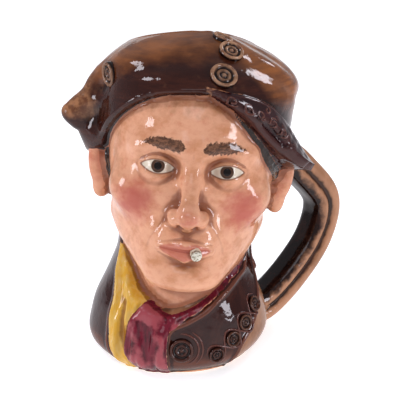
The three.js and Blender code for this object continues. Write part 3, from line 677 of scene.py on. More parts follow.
def mouth_share(hit, count):
    """The v at which each column meets the mouth's plane, by halving."""
    low = np.full(count, SIDE_SHARE * 0.9)
    high = np.ones(count)
    for _ in range(14):
        middle = (low + high) / 2
        above = above_mouth(hit(middle)) > 0
        high = np.where(above, middle, high)
        low = np.where(above, low, middle)
    return (low + high) / 2


def settle(field, p, times):
    """Evens the net out along the surface and puts it back on it, with the first and last row held."""
    rows, columns = p.shape[1:]
    for _ in range(times):
        near = (np.roll(p, 1, 2) + np.roll(p, -1, 2))[:, 1:-1] + p[:, :-2] + p[:, 2:]
        inner = p[:, 1:-1].reshape(3, -1)
        g = gradient(field, inner)
        steep = np.maximum(length(g), 0.3)
        normal = g / steep
        move = near.reshape(3, -1) / 4 - inner
        inner = inner + 0.6 * (move - normal * (move * normal).sum(0))
        inner = inner - normal * np.clip(field(inner) / steep, -1, 1)
        p = np.concatenate([p[:, :1], inner.reshape(3, rows - 2, columns), p[:, -1:]], 1)
    return p


def finer(p):
    """Twice as many rows and columns, at the middles between neighbours."""
    rows, columns = p.shape[1:]
    out = np.empty((3, 2 * rows - 1, 2 * columns))
    out[:, ::2, ::2] = p
    out[:, ::2, 1::2] = (p + np.roll(p, -1, 2)) / 2
    out[:, 1::2] = (out[:, :-2:2] + out[:, 2::2]) / 2
    return out


def outer_net(form, columns, rows):
    """The outer net: found coarse, settled, then doubled and settled again."""
    angle = 2 * np.pi * spread(columns // 2, True, column_density) - np.pi
    top = mouth_share(lambda v: hit_from_outside(form.outside, *rays(angle, v), times=40), len(angle))
    v = spread(rows // 2, False, row_density)[:, None] * top
    every = np.broadcast_to(angle, v.shape)
    p = hit_from_outside(form.outside, *rays(every.ravel(), v.ravel())).reshape(3, *v.shape)
    return settle(form.outside, finer(settle(form.outside, p, 8)), 5)


def inner_net(form, columns, rows):
    """The hollow's net, from the mouth down the wall and in over the floor."""
    angle = 2 * np.pi * spread(columns // 2, True, column_density) - np.pi

    def hit(v):
        return hit_from_inside(form.hollow, *inner_rays(form, angle, v), times=40)

    top = mouth_share(hit, len(angle))
    v = top - (top + 0.9) * ((np.arange(rows) / (rows - 1)) ** 1.3)[:, None]
    every = np.broadcast_to(angle, v.shape)
    p = hit_from_inside(form.hollow, *inner_rays(form, every.ravel(), v.ravel())).reshape(3, *v.shape)
    out = np.empty((3, rows, columns))
    out[:, :, ::2] = p
    out[:, :, 1::2] = (p + np.roll(p, -1, 2)) / 2
    return out


def lip_net(outside, inside, rows):
    """The lip: from the outer to the inner edge along a low arch over the mouth's plane."""
    share = ((np.arange(rows) + 1) / (rows + 1))[None, :, None]
    level = outside[:, None] + (inside - outside)[:, None] * (1 - np.cos(np.pi * share)) / 2
    up = np.array([0, math.sin(MOUTH_SLOPE), math.cos(MOUTH_SLOPE)])[:, None, None]
    return level + up * LIP_LIFT * np.sin(np.pi * share)


def foot_net(ring, rows):
    """The foot: the lowest ring rounded under onto the flat base, by a quarter circle."""
    away = ring - column(FOOT_CENTRE[0], FOOT_CENTRE[1], 0)
    away[2] = 0
    away = away / length(away)
    t = (np.arange(rows) / rows * np.pi / 2)[None, :, None]
    out = ring[:, None] + away[:, None] * FOOT_ROUNDING * (np.sin(t) - 1)
    out[2] = FOOT_ROUNDING * (1 - np.cos(t[0]))
    return out


def net_faces(rows, columns):
    """Squares between neighbouring rows of a net that closes round."""
    index = np.arange(rows * columns).reshape(rows, columns)
    right = np.roll(index, -1, 1)
    return np.stack([index[:-1], right[:-1], right[1:], index[1:]], -1).reshape(-1, 4)


def net_piece(name, nets):
    """One object of closed nets. Each is a grid of points in millimetres, whose rows run away from its first
    end point to its last and whose columns turn leftwise about that way; a fan closes each end."""
    points, faces, start = [], [], 0
    for p, first, last in nets:
        rows, columns = p.shape[1:]
        count = rows * columns
        ring = np.arange(columns)
        after = np.roll(ring, -1)
        top = count - columns
        points += [p.reshape(3, -1), column(*first), column(*last)]
        faces += (start + net_faces(rows, columns)).tolist()
        faces += (start + np.stack([np.full(columns, count), after, ring], -1)).tolist()
        faces += (start + np.stack([np.full(columns, count + 1), top + ring, top + after], -1)).tolist()
        start += count + 2
    mesh = bpy.data.meshes.new(name)
    mesh.from_pydata((np.concatenate(points, 1).T * MM).tolist(), [], faces)
    mesh.shade_smooth()
    piece = bpy.data.objects.new(name, mesh)
    bpy.context.scene.collection.objects.link(piece)
    return piece


def set_attribute(piece, name, grids, ends=(0, 0)):
    """A value for every point of a piece, from a grid for each of its nets and a value for each end point."""
    values = np.concatenate([np.concatenate([np.ravel(grid), ends]) for grid in grids])
    layer = piece.data.attributes.new(name, "FLOAT", "POINT")
    layer.data.foreach_set("value", values.astype(np.float32))


def hollows(p, reach):
    """How far the net dips in at each point, in mm: the mean of four points some steps off, less the point,
    along the normal."""
    rows = p.shape[1]
    up = p[:, np.minimum(np.arange(rows) + reach, rows - 1)]
    down = p[:, np.maximum(np.arange(rows) - reach, 0)]
    left = np.roll(p, reach, 2)
    right = np.roll(p, -reach, 2)
    normal = np.cross(right - left, up - down, axis=0)
    normal = normal / np.maximum(length(normal), 1e-9)
    return (((up + down + left + right) / 4 - p) * normal).sum(0)


def lead(layers):
    """For each painted layer, how much nearer it is than the nearest other, in millimetres."""
    stack = np.stack(list(layers.values()))
    ahead = {}
    for i, name in enumerate(layers):
        ahead[name] = np.clip(np.delete(stack, i, 0).min(0) - stack[i], -4, 4)
    return ahead


def face_paint(form, p):
    """Where the face is painted, in the head's own frame: how far each point is inside eye, iris, brow and
    lip in hundredths of the head, how red it is, and how much painted shade it takes, from 0 to 1: brown
    darkening in the eye sockets, under the cap, nose and lip and down the sides of the face, where shade
    falls."""
    q = form.to_head(p)
    m = mirrored(q)
    front = q[1] < -18
    iris = 2.8 - np.hypot(m[0] - EYE[0], m[2] - EYE[2] - 0.7)
    brow_line = 10.2 - 0.007 * (m[0] - 15) ** 2 - 0.03 * np.maximum(m[0] - 18, 0) ** 2
    brow = 3.8 * ramp(26, 13, m[0]) * ramp(1.5, 6, m[0]) - 1.3 - np.abs(m[2] - brow_line)
    across = np.clip(1 - (m[0] / 10.6) ** 2, 0, 1)
    above = 3.0 * across ** 0.8 - 0.8 * bump(m[0], 1.6) - (q[2] - LIP_HEIGHT)
    below = 4.0 * across ** 0.7 - (LIP_HEIGHT - q[2])
    lip = np.where(q[2] > LIP_HEIGHT, above, below)
    cheek = bump(np.hypot(m[0] - 22, (q[2] + 15) * 0.9), 9)
    tip = 0.55 * bump(np.hypot(q[0], q[2] + 17), 6)
    ears = 0.45 * ramp(33, 40, m[0]) * ramp(-25, -12, q[2]) * ramp(12, 4, q[2])
    # Painted shade: brown that darkens the sockets, the forehead under the cap, under the nose and lip, and
    # the sides of the face
    socket = bump(np.hypot(m[0] - 12, (q[2] - 1) * 1.25), 8.5)
    under_cap = ramp(14, 30, q[2]) * ramp(40, 20, m[0])
    under_lip = 0.7 * bump(np.hypot(q[0] * 0.5, q[2] + 37), 4.5)
    under_nose = 0.8 * bump(np.hypot(q[0] * 0.6, q[2] + 22.5), 3)
    sides = 0.5 * ramp(22, 34, m[0])
    shade = np.maximum.reduce([0.75 * socket, 0.7 * under_cap, under_lip, under_nose, sides])
    return {
        "eye_inside": np.where(front, -form.eye_opening(q), -9),
        "iris_inside": np.where(front, iris, -9),
        "brow_inside": np.where(front, brow, -9),
        "lip_inside": np.where((q[1] < -34) & (m[0] < 10.6), lip, -9),
        "redness": np.maximum(cheek, tip) * front + ears,
        "shade": shade * front,
    }


def on_form(form, angle, height):
    """Points of the form at given angles and heights, and the outward normals there."""
    a = np.radians(np.atleast_1d(np.asarray(angle, float)))
    z = np.broadcast_to(np.asarray(height, float), a.shape)
    origin = np.stack([np.ones_like(a), 2 * np.ones_like(a), z])
    away = np.stack([np.sin(a), -np.cos(a), 0 * a])
    point = hit_from_outside(form.outside, origin, away, times=90)
    g = gradient(form.outside, point)
    return point, g / length(g)


def turned(profile, sides, place, normal):
    """A net of a profile of (radius, height) pairs turned round a normal that stands at a place."""
    radius, height = np.array(profile, float).T
    normal = np.asarray(normal, float) / np.linalg.norm(normal)
    side = np.cross(normal, (0.0, 0.0, 1.0) if abs(normal[2]) < 0.9 else (1.0, 0.0, 0.0))
    side = side / np.linalg.norm(side)
    other = np.cross(normal, side)
    a = 2 * np.pi * np.arange(sides) / sides
    ring = np.cos(a) * side[:, None] + np.sin(a) * other[:, None]
    middle = np.asarray(place, float)[:, None] + normal[:, None] * height
    return middle[:, :, None] + ring[:, None] * radius[None, :, None], middle[:, 0], middle[:, -1]


# Materials


def node(tree, kind, inputs, **settings):
    """Adds a node. Its settings are the node's properties; its inputs are values, or outputs to link."""
    new = tree.nodes.new("ShaderNode" + kind)
    for name, value in settings.items():
        setattr(new, name, value)
    for key, value in inputs.items():
        if isinstance(value, bpy.types.NodeSocket):
            tree.links.new(value, new.inputs[key])
        else:
            new.inputs[key].default_value = value
    return new


def flat(colour):
    return (*colour, 1.0)


def streaks(tree, thin, thick, stroke, low=0.4, high=0.62):
    """Colour brushed on thin and thick: noise drawn out to the stroke's size along x, y and z, in mm."""
    place = node(tree, "TexCoord", {}).outputs["Object"]
    drawn = node(tree, "Mapping", {"Vector": place, "Scale": [1000 / size for size in stroke]}).outputs[0]
    noise = node(tree, "TexNoise", {"Vector": drawn, "Scale": 1.0, "Detail": 5.0, "Roughness": 0.62})
    value = noise.outputs[0]
    share = node(tree, "MapRange", {0: value, 1: low, 2: high}, interpolation_type="SMOOTHSTEP").outputs[0]
    return node(tree, "Mix", {0: share, 6: thin, 7: thick}, data_type="RGBA").outputs[2]


def lay(tree, below, above, attribute, low, high, waver=None, strength=1.0):
    """Lays one colour over another where an attribute, moved by the brush's waver, rises from low to high."""
    value = node(tree, "Attribute", {}, attribute_name=attribute).outputs["Fac"]
    if waver is not None:
        value = node(tree, "Math", {0: value, 1: waver}, operation="ADD").outputs[0]
    share = node(tree, "MapRange", {0: value, 1: low, 2: high, 4: strength}, interpolation_type="SMOOTHSTEP")
    return node(tree, "Mix", {0: share.outputs[0], 6: below, 7: above}, data_type="RGBA").outputs[2]


def unevenness(tree, size, amount):
    """Noise round 0, with patches of a size in millimetres and a swing of an amount."""
    place = node(tree, "TexCoord", {}).outputs["Object"]
    noise = node(tree, "TexNoise", {"Vector": place, "Scale": 1000 / size, "Detail": 3.0}).outputs[0]
    return node(tree, "MapRange", {0: noise, 1: 0.3, 2: 0.7, 3: -amount, 4: amount}).outputs[0]


def glazed(name, paint):
    """Hand-painted earthenware under a clear glaze: underglaze colour from paint(tree), a pool-smooth clear
    coat that throws sharp highlights, and the faint unevenness of dipped glaze."""
    material = bpy.data.materials.new(name)
    material.use_nodes = True
    tree = material.node_tree
    tree.nodes.clear()
    peel = unevenness(tree, 7.0, 0.5)
    dips = node(tree, "Bump", {"Strength": 0.25, "Distance": 0.0006, "Height": peel}).outputs[0]
    shader = node(tree, "BsdfPrincipled", {
        "Base Color": paint(tree), "Roughness": 0.5, "Specular IOR Level": 0.0, "Normal": dips,
        "Coat Weight": 0.62, "Coat Roughness": 0.03, "Coat IOR": 1.5, "Coat Normal": dips,
    })
    node(tree, "OutputMaterial", {"Surface": shader.outputs[0]})
    return material


def jug_paint(tree, colours):
    """The vessel's colours, laid one over another with a brush: flesh and hair, coat, scarf and cap."""
    waver = unevenness(tree, 3.0, 0.22)
    flesh = streaks(tree, flat(colours.skin), linear("#C68862"), (10, 10, 7), 0.42, 0.7)
    # Painted shade: brown over the eye sockets, under the cap, nose and lip, and down the sides of the face
    flesh = lay(tree, flesh, linear("#9C6C44"), "shade", 0.15, 1.0, unevenness(tree, 4.0, 0.22), 0.78)
    flesh = streaks(tree, flesh, linear("#C67C5C"), (3.6, 3.6, 3), 0.48, 0.9)
    flesh = lay(tree, flesh, flat(colours.blush), "redness", 0.12, 1.0, unevenness(tree, 5.0, 0.16), 0.8)
    # Painted shade in the skin's creases and hollows, from how far the surface dips in; it also stands for
    # glaze pooled there
    flesh = lay(tree, flesh, flat(colours.wash), "crease_broad", 0.2, 1.5, unevenness(tree, 4.0, 0.2), 0.55)
    flesh = lay(tree, flesh, flat(colours.wash), "crease_fine", 0.02, 0.16, None, 0.55)
    flesh = lay(tree, flesh, flat(colours.blush), "lip_inside", -0.4, 0.6, waver, 0.6)
    bristle = streaks(tree, linear("#6B4733"), linear("#24140E"), (1.6, 9, 1.1), 0.4, 0.58)
    flesh = lay(tree, flesh, bristle, "brow_inside", -0.35, 0.45, unevenness(tree, 1.2, 0.6), 0.9)
    flesh = lay(tree, flesh, linear("#6B4330"), "eye_inside", -0.65, -0.15, None, 0.75)
    flesh = lay(tree, flesh, linear("#DACDB8"), "eye_inside", -0.1, 0.3)
    eye = node(tree, "Attribute", {}, attribute_name="eye_inside").outputs["Fac"]
    seen = node(tree, "MapRange", {0: eye, 1: 0.0, 2: 0.25}).outputs[0]
    iris = lay(tree, flesh, linear("#4C3426"), "iris_inside", -0.1, 0.25)
    iris = lay(tree, iris, linear("#140D0A"), "iris_inside", 1.1, 1.4)
    flesh = node(tree, "Mix", {0: seen, 6: flesh, 7: iris}, data_type="RGBA").outputs[2]
    hair = streaks(tree, flat(colours.hair), linear("#7C5B3E"), (1.5, 1.5, 14), 0.42, 0.66)
    # Painted shade: dark brown in the hair's hollows and in the gap under the peak
    hair = lay(tree, hair, linear("#2C1F19"), "crease_fine", 0.0, 0.1, None, 0.7)
    hair = lay(tree, hair, linear("#1C100B"), "crease_broad", 0.4, 1.8, None, 0.9)
    coat = streaks(tree, flat(colours.coat_back), linear("#74492F"), (13, 13, 20), 0.36, 0.8)
    # Painted shade: dark brown in the hollows of the coat's back
    coat = lay(tree, coat, linear("#3A2018"), "crease_broad", 0.3, 1.6, None, 0.8)
    lapel = streaks(tree, flat(colours.coat), linear("#3C1C13"), (10, 10, 18), 0.45, 0.72)
    yellow = streaks(tree, flat(colours.yellow), linear("#D3AC58"), (3, 3, 12), 0.4, 0.65)
    # Painted shade: ochre brown in the hollows of the neckerchief's folds
    yellow = lay(tree, yellow, linear("#83521A"), "crease_broad", 0.1, 1.1, waver, 0.85)
    maroon = streaks(tree, flat(colours.maroon), linear("#430D18"), (3, 3, 12), 0.4, 0.65)
    # Painted highlight: pink on the raised ridges of the red pleats, where the surface bulges most
    maroon = lay(tree, linear("#94434A"), maroon, "crease_broad", -1.6, -0.4, unevenness(tree, 4.0, 0.6))
    crown = streaks(tree, flat(colours.cap_light), linear("#68402A"), (22, 22, 3.4), 0.34, 0.74)
    cap = lay(tree, streaks(tree, flat(colours.cap_dark), linear("#452014"), (18, 18, 4), 0.42, 0.78),
              crown, "above_crease", -2.0, 13.0, unevenness(tree, 9.0, 2.5))
    # Painted shade: near-black in the crease above the band and in the cap's other hollows
    cap = lay(tree, cap, linear("#1A0906"), "crease_broad", 0.2, 1.2, None, 0.8)
    cap = lay(tree, cap, streaks(tree, linear("#AC7852"), linear("#70452D"), (5, 12, 5)), "point", 0.1, 1.0,
              unevenness(tree, 6.0, 0.25), 0.85)
    peak = streaks(tree, flat(colours.peak), linear("#3C191C"), (9, 9, 5), 0.45, 0.7)
    dark = {"lapel": lapel, "peak": peak}
    for name, ridge in (("lapel", "#5E3324"), ("peak", "#40221F")):
        dark[name] = lay(tree, linear(ridge), dark[name], "crease_fine", -0.12, -0.03)
    colour = flesh
    for name, layer in (
        ("hair", hair), ("back", coat), ("roots", coat), ("lapel", dark["lapel"]), ("yellow", yellow),
        ("maroon", maroon), ("cap", cap), ("peak", dark["peak"]),
    ):
        colour = lay(tree, colour, layer, "lead_" + name, -0.15, 0.2, waver)
    colour = lay(tree, colour, linear("#D8C8B2"), "inside", 0.4, 0.9)
    return lay(tree, colour, linear("#C9B291"), "bare", 0.4, 0.9)


def handle_paint(tree, colours):
    """The handle's colours: thin tan on the ridges and outside, and dark brown as painted shade inside the
    bow and down the flutes.
    """
    waver = unevenness(tree, 5.0, 0.18)
    tan = streaks(tree, linear("#AF7E5E"), flat(colours.coat_back), (10, 10, 18), 0.38, 0.7)
    dark = streaks(tree, linear("#1F100C"), linear("#3B2018"), (10, 10, 18), 0.45, 0.7)
    # Painted shade: dark brown on the inner face of the bow and down the flutes
    colour = lay(tree, dark, tan, "bow_side", -0.75, -0.3, waver)
    return lay(tree, colour, dark, "flute", 0.25, 0.8, waver, 0.95)


def button_paint(tree, colours):
    """The buttons' colours: glaze that is thin over rim and eye and pools dark in the ring, on a pale and on
    a dark ground."""
    tan = streaks(tree, linear("#B28868"), linear("#6B432E"), (4, 4, 4), 0.4, 0.7)
    thin = lay(tree, linear("#3F1F16"), tan, "pale", 0.0, 1.0)
    return lay(tree, linear("#1C0B08"), thin, "rise", 0.25, 0.8, unevenness(tree, 2.0, 0.2))


def trim_paint(tree, colours):
    """Dark glaze that runs thin and reddish over the top of the relief."""
    return lay(tree, flat(colours.peak), linear("#5A332A"), "rise", 0.3, 1.0, unevenness(tree, 1.5, 0.15))


def stub_paint(tree, colours):
    """Off-white paper, with a sooty ring and grey ash at the end."""
    paper = streaks(tree, linear("#E6DCC6"), linear("#CDBB9C"), (2, 2, 2))
    paper = lay(tree, paper, linear("#6E5A48"), "along", 0.7, 0.78, unevenness(tree, 1.0, 0.05))
    ash = streaks(tree, linear("#DAD6C4"), linear("#8E8672"), (1, 1, 1), 0.45, 0.6)
    return lay(tree, paper, ash, "along", 0.8, 0.86, unevenness(tree, 1.0, 0.05))


class JugPiece:
    """What the operators of the jug's pieces share."""

    bl_options = {"REGISTER", "UNDO"}

    def finish(self, context, piece, name, paint):
        piece.data.materials.append(glazed(name, lambda tree: paint(tree, context.scene.jug_colours)))
        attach(piece, "root")
        return {"FINISHED"}


class JUG_OT_vessel(JugPiece, bpy.types.Operator):
    """Build the head, cap and coat with their hollow, as one closed casting"""

    bl_idname = "jug.vessel"
    bl_label = "Vessel"

    def execute(self, context):
        form = JugForm(context.scene.jug_sizes)
        outer = outer_net(form, COLUMNS, ROWS)
        inner = inner_net(form, outer.shape[2], INNER_ROWS)
        lip = lip_net(outer[:, -1], inner[:, 0], LIP_ROWS)
        foot = foot_net(outer[:, 0].copy(), FOOT_ROWS)
        p = np.concatenate([foot, outer, lip, inner], 1)
        piece = net_piece("vessel", [(p, (*FOOT_CENTRE, 0), inner[:, -1].mean(1))])
        flat_points = p.reshape(3, -1)
        q = form.to_head(flat_points)
        head_angle = np.degrees(np.arctan2(q[0], -q[1]))
        layers = form.layers(flat_points)
        angle = np.degrees(np.arctan2(flat_points[0], -flat_points[1]))
        beside = UNDER_COAT * ramp(70, 84, np.abs(angle))
        layers["skin"] = layers["skin"] + beside * ramp(66, 60, flat_points[2])
        masks = {"lead_" + name: values for name, values in lead(layers).items()}
        masks.update(face_paint(form, flat_points))
        masks["above_crease"] = (q[2] - at(CREASE, head_angle)) * form.unit
        masks["above_crease"] += CROWN_WASH * ramp(22, 48, head_angle) * ramp(150, 115, head_angle)
        masks["point"] = ramp(-34, -58, flat_points[0]) * ramp(118, 128, flat_points[2])
        # How far the surface dips in, at a fine and a broad scale. These place the painted shade in creases
        # and hollows, the painted highlight on the red scarf's ridges, and the thin glaze over the lapel's
        # and peak's ridges
        masks["crease_fine"] = hollows(p, 2)
        masks["crease_broad"] = hollows(p, 7)
        for name, values in masks.items():
            set_attribute(piece, name, [values])
        row = np.arange(p.shape[1])[:, None] * np.ones(p.shape[2])
        set_attribute(piece, "inside", [row > FOOT_ROWS + outer.shape[1] + LIP_ROWS / 2], (0, 1))
        set_attribute(piece, "bare", [row < FOOT_ROWS - 1], (1, 0))
        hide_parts("jug")
        return self.finish(context, piece, "painted glazed earthenware", jug_paint)


class JUG_OT_handle(JugPiece, bpy.types.Operator):
    """Build the loop handle, a fluted bar bent along its bow"""

    bl_idname = "jug.handle"
    bl_label = "Handle"

    def execute(self, context):
        """A rounded square section, fluted down both sides, carried along the handle's line."""
        form = JugForm(context.scene.jug_sizes)
        rings, sides = 140, 96
        points = np.array(handle_points(), float)
        knots = np.concatenate([[0], np.cumsum(np.linalg.norm(np.diff(points, axis=0), axis=1) ** 0.5)])
        t = np.linspace(0, knots[-1], rings)
        path = np.stack([at(line(*zip(knots, points[:, k])), t) for k in range(3)])
        along = np.gradient(path, axis=1)
        along = along / length(along)
        sideways = column(-math.sin(HANDLE_TURN), math.cos(HANDLE_TURN), 0)
        outward = np.cross(along, np.broadcast_to(sideways, along.shape), axis=0)
        a = 2 * np.pi * np.arange(4000) / 4000
        across, side = rounded_square(a, form.handle_depth, form.handle_width)
        way = np.cumsum(np.hypot(np.diff(across, append=across[0]), np.diff(side, append=side[0])))
        even = np.interp((np.arange(sides) + 0.5) / sides * way[-1], way, a)
        across, side = rounded_square(even, form.handle_depth, form.handle_width)
        side = side - np.sign(side) * FLUTE_DEPTH * bump(across, FLUTE_WIDTH)
        p = path[:, :, None] + outward[:, :, None] * across + sideways[:, :, None] * side
        piece = net_piece("handle", [(p[:, ::-1], path[:, -1], path[:, 0])])
        whole = np.ones((rings, 1))
        set_attribute(piece, "bow_side", [whole * across * 2 / form.handle_depth])
        set_attribute(piece, "flute", [whole * bump(across, FLUTE_WIDTH)])
        return self.finish(context, piece, "brushed brown glazed earthenware", handle_paint)


class JUG_OT_buttons(JugPiece, bpy.types.Operator):
    """Build the raised buttons on cap and collar, with a rolled rim, a sunk ring and an eye"""

    bl_idname = "jug.buttons"
    bl_label = "Buttons"

    def execute(self, context):
        """A profile of radius and height, turned round the form's normal at each button."""
        sizes = context.scene.jug_sizes
        form = JugForm(sizes)
        rise = sizes.button_rise / MM
        shape = [
            (0.97, -1.4), (1.0, 0.0), (0.99, 0.45), (0.95, 0.8), (0.88, 1.0), (0.8, 0.93), (0.73, 0.6),
            (0.68, 0.3), (0.62, 0.2), (0.55, 0.3), (0.5, 0.55), (0.42, 0.66), (0.34, 0.55), (0.28, 0.3),
            (0.22, 0.25), (0.17, 0.5), (0.1, 0.72), (0.03, 0.78),
        ]
        sides = 48
        nets, rises, pale = [], [], []
        for angle, height, diameter, share in (*CAP_BUTTONS, *COAT_BUTTONS):
            point, normal = on_form(form, angle, height)
            profile = [(r * diameter / 2, h * rise) for r, h in shape]
            nets.append(turned(profile, sides, point[:, 0], normal[:, 0]))
            rises.append(np.array([h for r, h in shape])[:, None] * np.ones(sides))
            pale.append(share * np.ones(rises[-1].shape))
        piece = net_piece("buttons", nets)
        set_attribute(piece, "rise", rises, (0, 0.8))
        set_attribute(piece, "pale", pale, (0, 0.5))
        return self.finish(context, piece, "pooled brown glazed earthenware", button_paint)


class JUG_OT_trim(JugPiece, bpy.types.Operator):
    """Build the embossed trim: curls on the peak, and braid round the collar's buttons"""

    bl_idname = "jug.trim"
    bl_label = "Trim"

    def execute(self, context):
        """Tubes half sunk in the form. Curls are spirals; the braid is two crossing waves."""
        form = JugForm(context.scene.jug_sizes)
        nets, rises = [], []
        for angle, height, size, start, turns in CURLS:
            t = np.linspace(0, 1, 30)
            reach = size * (0.3 + 0.7 * t)
            round_way = math.radians(start) + 2 * np.pi * turns * t
            across = angle + reach * np.cos(round_way) / DEGREE
            self.add(form, nets, rises, across, height + reach * np.sin(round_way), CURL_RADIUS, 0.5)
        buttons = np.array(COAT_BUTTONS[1:])[:, :2].T
        last = buttons.shape[1] - 1
        knot = np.linspace(-0.45, last + 0.45, 90)
        before = np.minimum(knot, 0)
        after = np.maximum(knot - last, 0)
        line_at = [
            np.interp(knot, np.arange(last + 1), b) + before * (b[1] - b[0]) + after * (b[-1] - b[-2])
            for b in buttons
        ]
        step = buttons[:, -1] - buttons[:, 0]
        way = np.array([step[0] * DEGREE, step[1]]) / math.hypot(step[0] * DEGREE, step[1])
        for side in (-1, 1):
            wave = side * BRAID_SWING * np.cos(np.pi * knot)
            across = line_at[0] - way[1] * wave / DEGREE
            self.add(form, nets, rises, across, line_at[1] + way[0] * wave, BRAID_RADIUS, 0.6)
        big = COAT_BUTTONS[0]
        for reach, first, end in ((8.2, -75, 95), (10.2, -50, 60)):
            around = np.radians(np.linspace(first, end, 40))
            self.add(form, nets, rises, big[0] + reach * np.cos(around) / DEGREE,
                     big[1] + reach * np.sin(around), ARC_RADIUS, 0.6)
        piece = net_piece("trim", nets)
        set_attribute(piece, "rise", rises)
        return self.finish(context, piece, "dark embossed glazed earthenware", trim_paint)

    def add(self, form, nets, rises, angle, height, radius, share):
        """A tube along a line on the form, thinner towards both ends, sunk by a share of its radius."""
        point, normal = on_form(form, angle, height)
        along = np.gradient(point, axis=1)
        along = along / length(along)
        side = np.cross(along, normal, axis=0)
        taper = radius * np.sqrt(np.clip(1 - np.linspace(-1, 1, len(angle)) ** 6, 0.15, 1))
        a = 2 * np.pi * np.arange(12) / 12
        middle = point - normal * radius * (1 - share)
        ring = side[:, :, None] * np.cos(a) + normal[:, :, None] * np.sin(a)
        nets.append((middle[:, :, None] + ring * taper[:, None], middle[:, 0], middle[:, -1]))
        rises.append(np.sin(a) * np.ones((len(angle), 1)))


class JUG_OT_stub(JugPiece, bpy.types.Operator):
    """Build the short cigarette end between the lips"""

    bl_idname = "jug.stub"
    bl_label = "Stub"

    def execute(self, context):
        """A round bar with a softened end and a slightly waisted paper tube."""
        form = JugForm(context.scene.jug_sizes)
        place = form.from_head(column(*STUB_PLACE))[:, 0]
        half = STUB_LENGTH / 2
        along = np.array([-1, -0.6, -0.2, 0.1, 0.3, 0.4, 0.44, 0.5, 0.65, 0.8, 0.9, 0.97, 1.0])
        girth = np.array([0.96, 0.96, 0.97, 0.98, 1, 1, 0.94, 0.93, 0.95, 0.93, 0.85, 0.68, 0.4])
        radius = girth * STUB_DIAMETER / 2
        net = turned(list(zip(radius, along * half)), 32, place, STUB_WAY)
        piece = net_piece("stub", [net])
        set_attribute(piece, "along", [(along[:, None] * 0.5 + 0.5) * np.ones(32)], (0, 1))
        return self.finish(context, piece, "paper-white glazed earthenware", stub_paint)


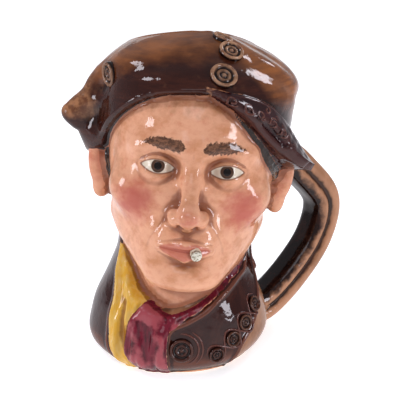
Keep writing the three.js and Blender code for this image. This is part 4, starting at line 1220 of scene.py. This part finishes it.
class JUG_OT_stage(bpy.types.Operator):
    """Set the white sweep, the soft boxes and the camera"""

    bl_idname = "jug.stage"
    bl_label = "Stage"
    bl_options = {"REGISTER", "UNDO"}

    def execute(self, context):
        """The floor glows from the jug backwards, and turns up in a quarter circle to a low wall."""
        scene = context.scene
        radius, front, back, wall = 0.6, -1.6, 1.8, 0.3
        turn_up = np.linspace(0, np.pi / 2, 24)
        y = np.concatenate([[front, 0], back + radius * np.sin(turn_up), [back + radius]])
        z = np.concatenate([[0, 0], radius * (1 - np.cos(turn_up)), [radius + wall]])
        x = np.linspace(-3, 3, 7)
        points = np.stack(np.broadcast_arrays(x[None], y[:, None], z[:, None]), -1).reshape(-1, 3)
        index = np.arange(len(points)).reshape(len(y), len(x))
        faces = np.stack([index[:-1, :-1], index[:-1, 1:], index[1:, 1:], index[1:, :-1]], -1).reshape(-1, 4)
        mesh = bpy.data.meshes.new("sweep")
        mesh.from_pydata(points.tolist(), [], faces.tolist())
        mesh.shade_smooth()
        sweep = bpy.data.objects.new("sweep", mesh)
        scene.collection.objects.link(sweep)
        # The glow is light painted into the sweep: an emission that whitens the floor, its shadows too, and
        # also lights the jug
        glowing_sweep = bpy.data.materials.new("glowing white sweep")
        glowing_sweep.use_nodes = True
        tree = glowing_sweep.node_tree
        tree.nodes.clear()
        tone = streaks(tree, (0.86, 0.86, 0.87, 1), (0.84, 0.84, 0.85, 1), (300, 300, 300))
        place = node(tree, "TexCoord", {}).outputs["Object"]
        parts = node(tree, "SeparateXYZ", {0: place}).outputs
        edge = node(tree, "Math", {0: parts["Y"], 1: GLOW_SPREAD, 2: GLOW_WIDTH}, operation="MULTIPLY_ADD")
        aside = node(tree, "Math", {0: parts["X"]}, operation="ABSOLUTE").outputs[0]
        beyond = node(tree, "Math", {0: aside, 1: edge.outputs[0]}, operation="SUBTRACT").outputs[0]
        lit = node(tree, "MapRange", {0: beyond, 1: 0.0, 2: GLOW_FADE, 3: GLOW, 4: GLOW_ASIDE},
                   interpolation_type="SMOOTHSTEP")
        glow = node(tree, "MapRange", {0: parts["Y"], 1: -0.5, 2: -0.05, 4: lit.outputs[0]},
                    interpolation_type="SMOOTHSTEP")
        shader = node(tree, "BsdfPrincipled", {
            "Base Color": tone, "Roughness": 0.95, "Specular IOR Level": 0.1,
            "Emission Color": (1.0, 1.0, 1.0, 1.0), "Emission Strength": glow.outputs[0],
        })
        node(tree, "OutputMaterial", {"Surface": shader.outputs[0]})
        mesh.materials.append(glowing_sweep)
        for box in SOFT_BOXES:
            self.light(scene, *box)
        world = bpy.data.worlds.new("studio")
        world.use_nodes = True
        world.node_tree.nodes["Background"].inputs["Color"].default_value = (0.9, 0.92, 1.0, 1)
        world.node_tree.nodes["Background"].inputs["Strength"].default_value = 0.4
        scene.world = world
        scene.view_settings.view_transform = "Standard"
        lens = bpy.data.cameras.new("camera")
        lens.lens = LENS
        lens.sensor_width = SENSOR
        lens.clip_end = 20
        camera = bpy.data.objects.new("camera", lens)
        back_way = Vector((0, -math.cos(CAMERA_RISE), math.sin(CAMERA_RISE)))
        facing = back_way.to_track_quat("Z", "Y").to_matrix().to_4x4()
        stand = Vector(CAMERA_TARGET) + back_way * CAMERA_DISTANCE
        camera.matrix_world = Matrix.Translation(stand) @ facing
        scene.collection.objects.link(camera)
        scene.camera = camera
        return {"FINISHED"}

    def light(self, scene, name, place, size, power):
        """A soft box that faces the middle of the jug."""
        lamp = bpy.data.lights.new(name, "AREA")
        lamp.shape = "RECTANGLE"
        lamp.size, lamp.size_y = size
        lamp.energy = power
        lamp.color = LAMP_COLOUR
        box = bpy.data.objects.new(name, lamp)
        way = Vector(place) - Vector(LIGHTS_AIM)
        box.matrix_world = Matrix.Translation(place) @ way.to_track_quat("Z", "Y").to_matrix().to_4x4()
        scene.collection.objects.link(box)


class JUG_PT_panel(bpy.types.Panel):
    """Lists the jug's sizes, colours and pieces."""

    bl_idname = "JUG_PT_panel"
    bl_label = "Character Jug"
    bl_space_type = "VIEW_3D"
    bl_region_type = "UI"
    bl_category = "Character Jug"

    def draw(self, context):
        for group in (context.scene.jug_sizes, context.scene.jug_colours):
            for name in group.__annotations__:
                self.layout.prop(group, name)
        for operator in OPERATORS:
            self.layout.operator(operator.bl_idname)


OPERATORS = (JUG_OT_stage, JUG_OT_vessel, JUG_OT_handle, JUG_OT_buttons, JUG_OT_trim, JUG_OT_stub)
CLASSES = (JugSizes, JugColours, *OPERATORS, JUG_PT_panel)


def register():
    for cls in CLASSES:
        bpy.utils.register_class(cls)
    bpy.types.Scene.jug_sizes = PointerProperty(type=JugSizes)
    bpy.types.Scene.jug_colours = PointerProperty(type=JugColours)


def unregister():
    del bpy.types.Scene.jug_colours
    del bpy.types.Scene.jug_sizes
    for cls in reversed(CLASSES):
        bpy.utils.unregister_class(cls)


def main():
    register()
    for operator in OPERATORS:
        family, name = operator.bl_idname.split(".")
        getattr(getattr(bpy.ops, family), name)()


if __name__ == "__main__":
    main()
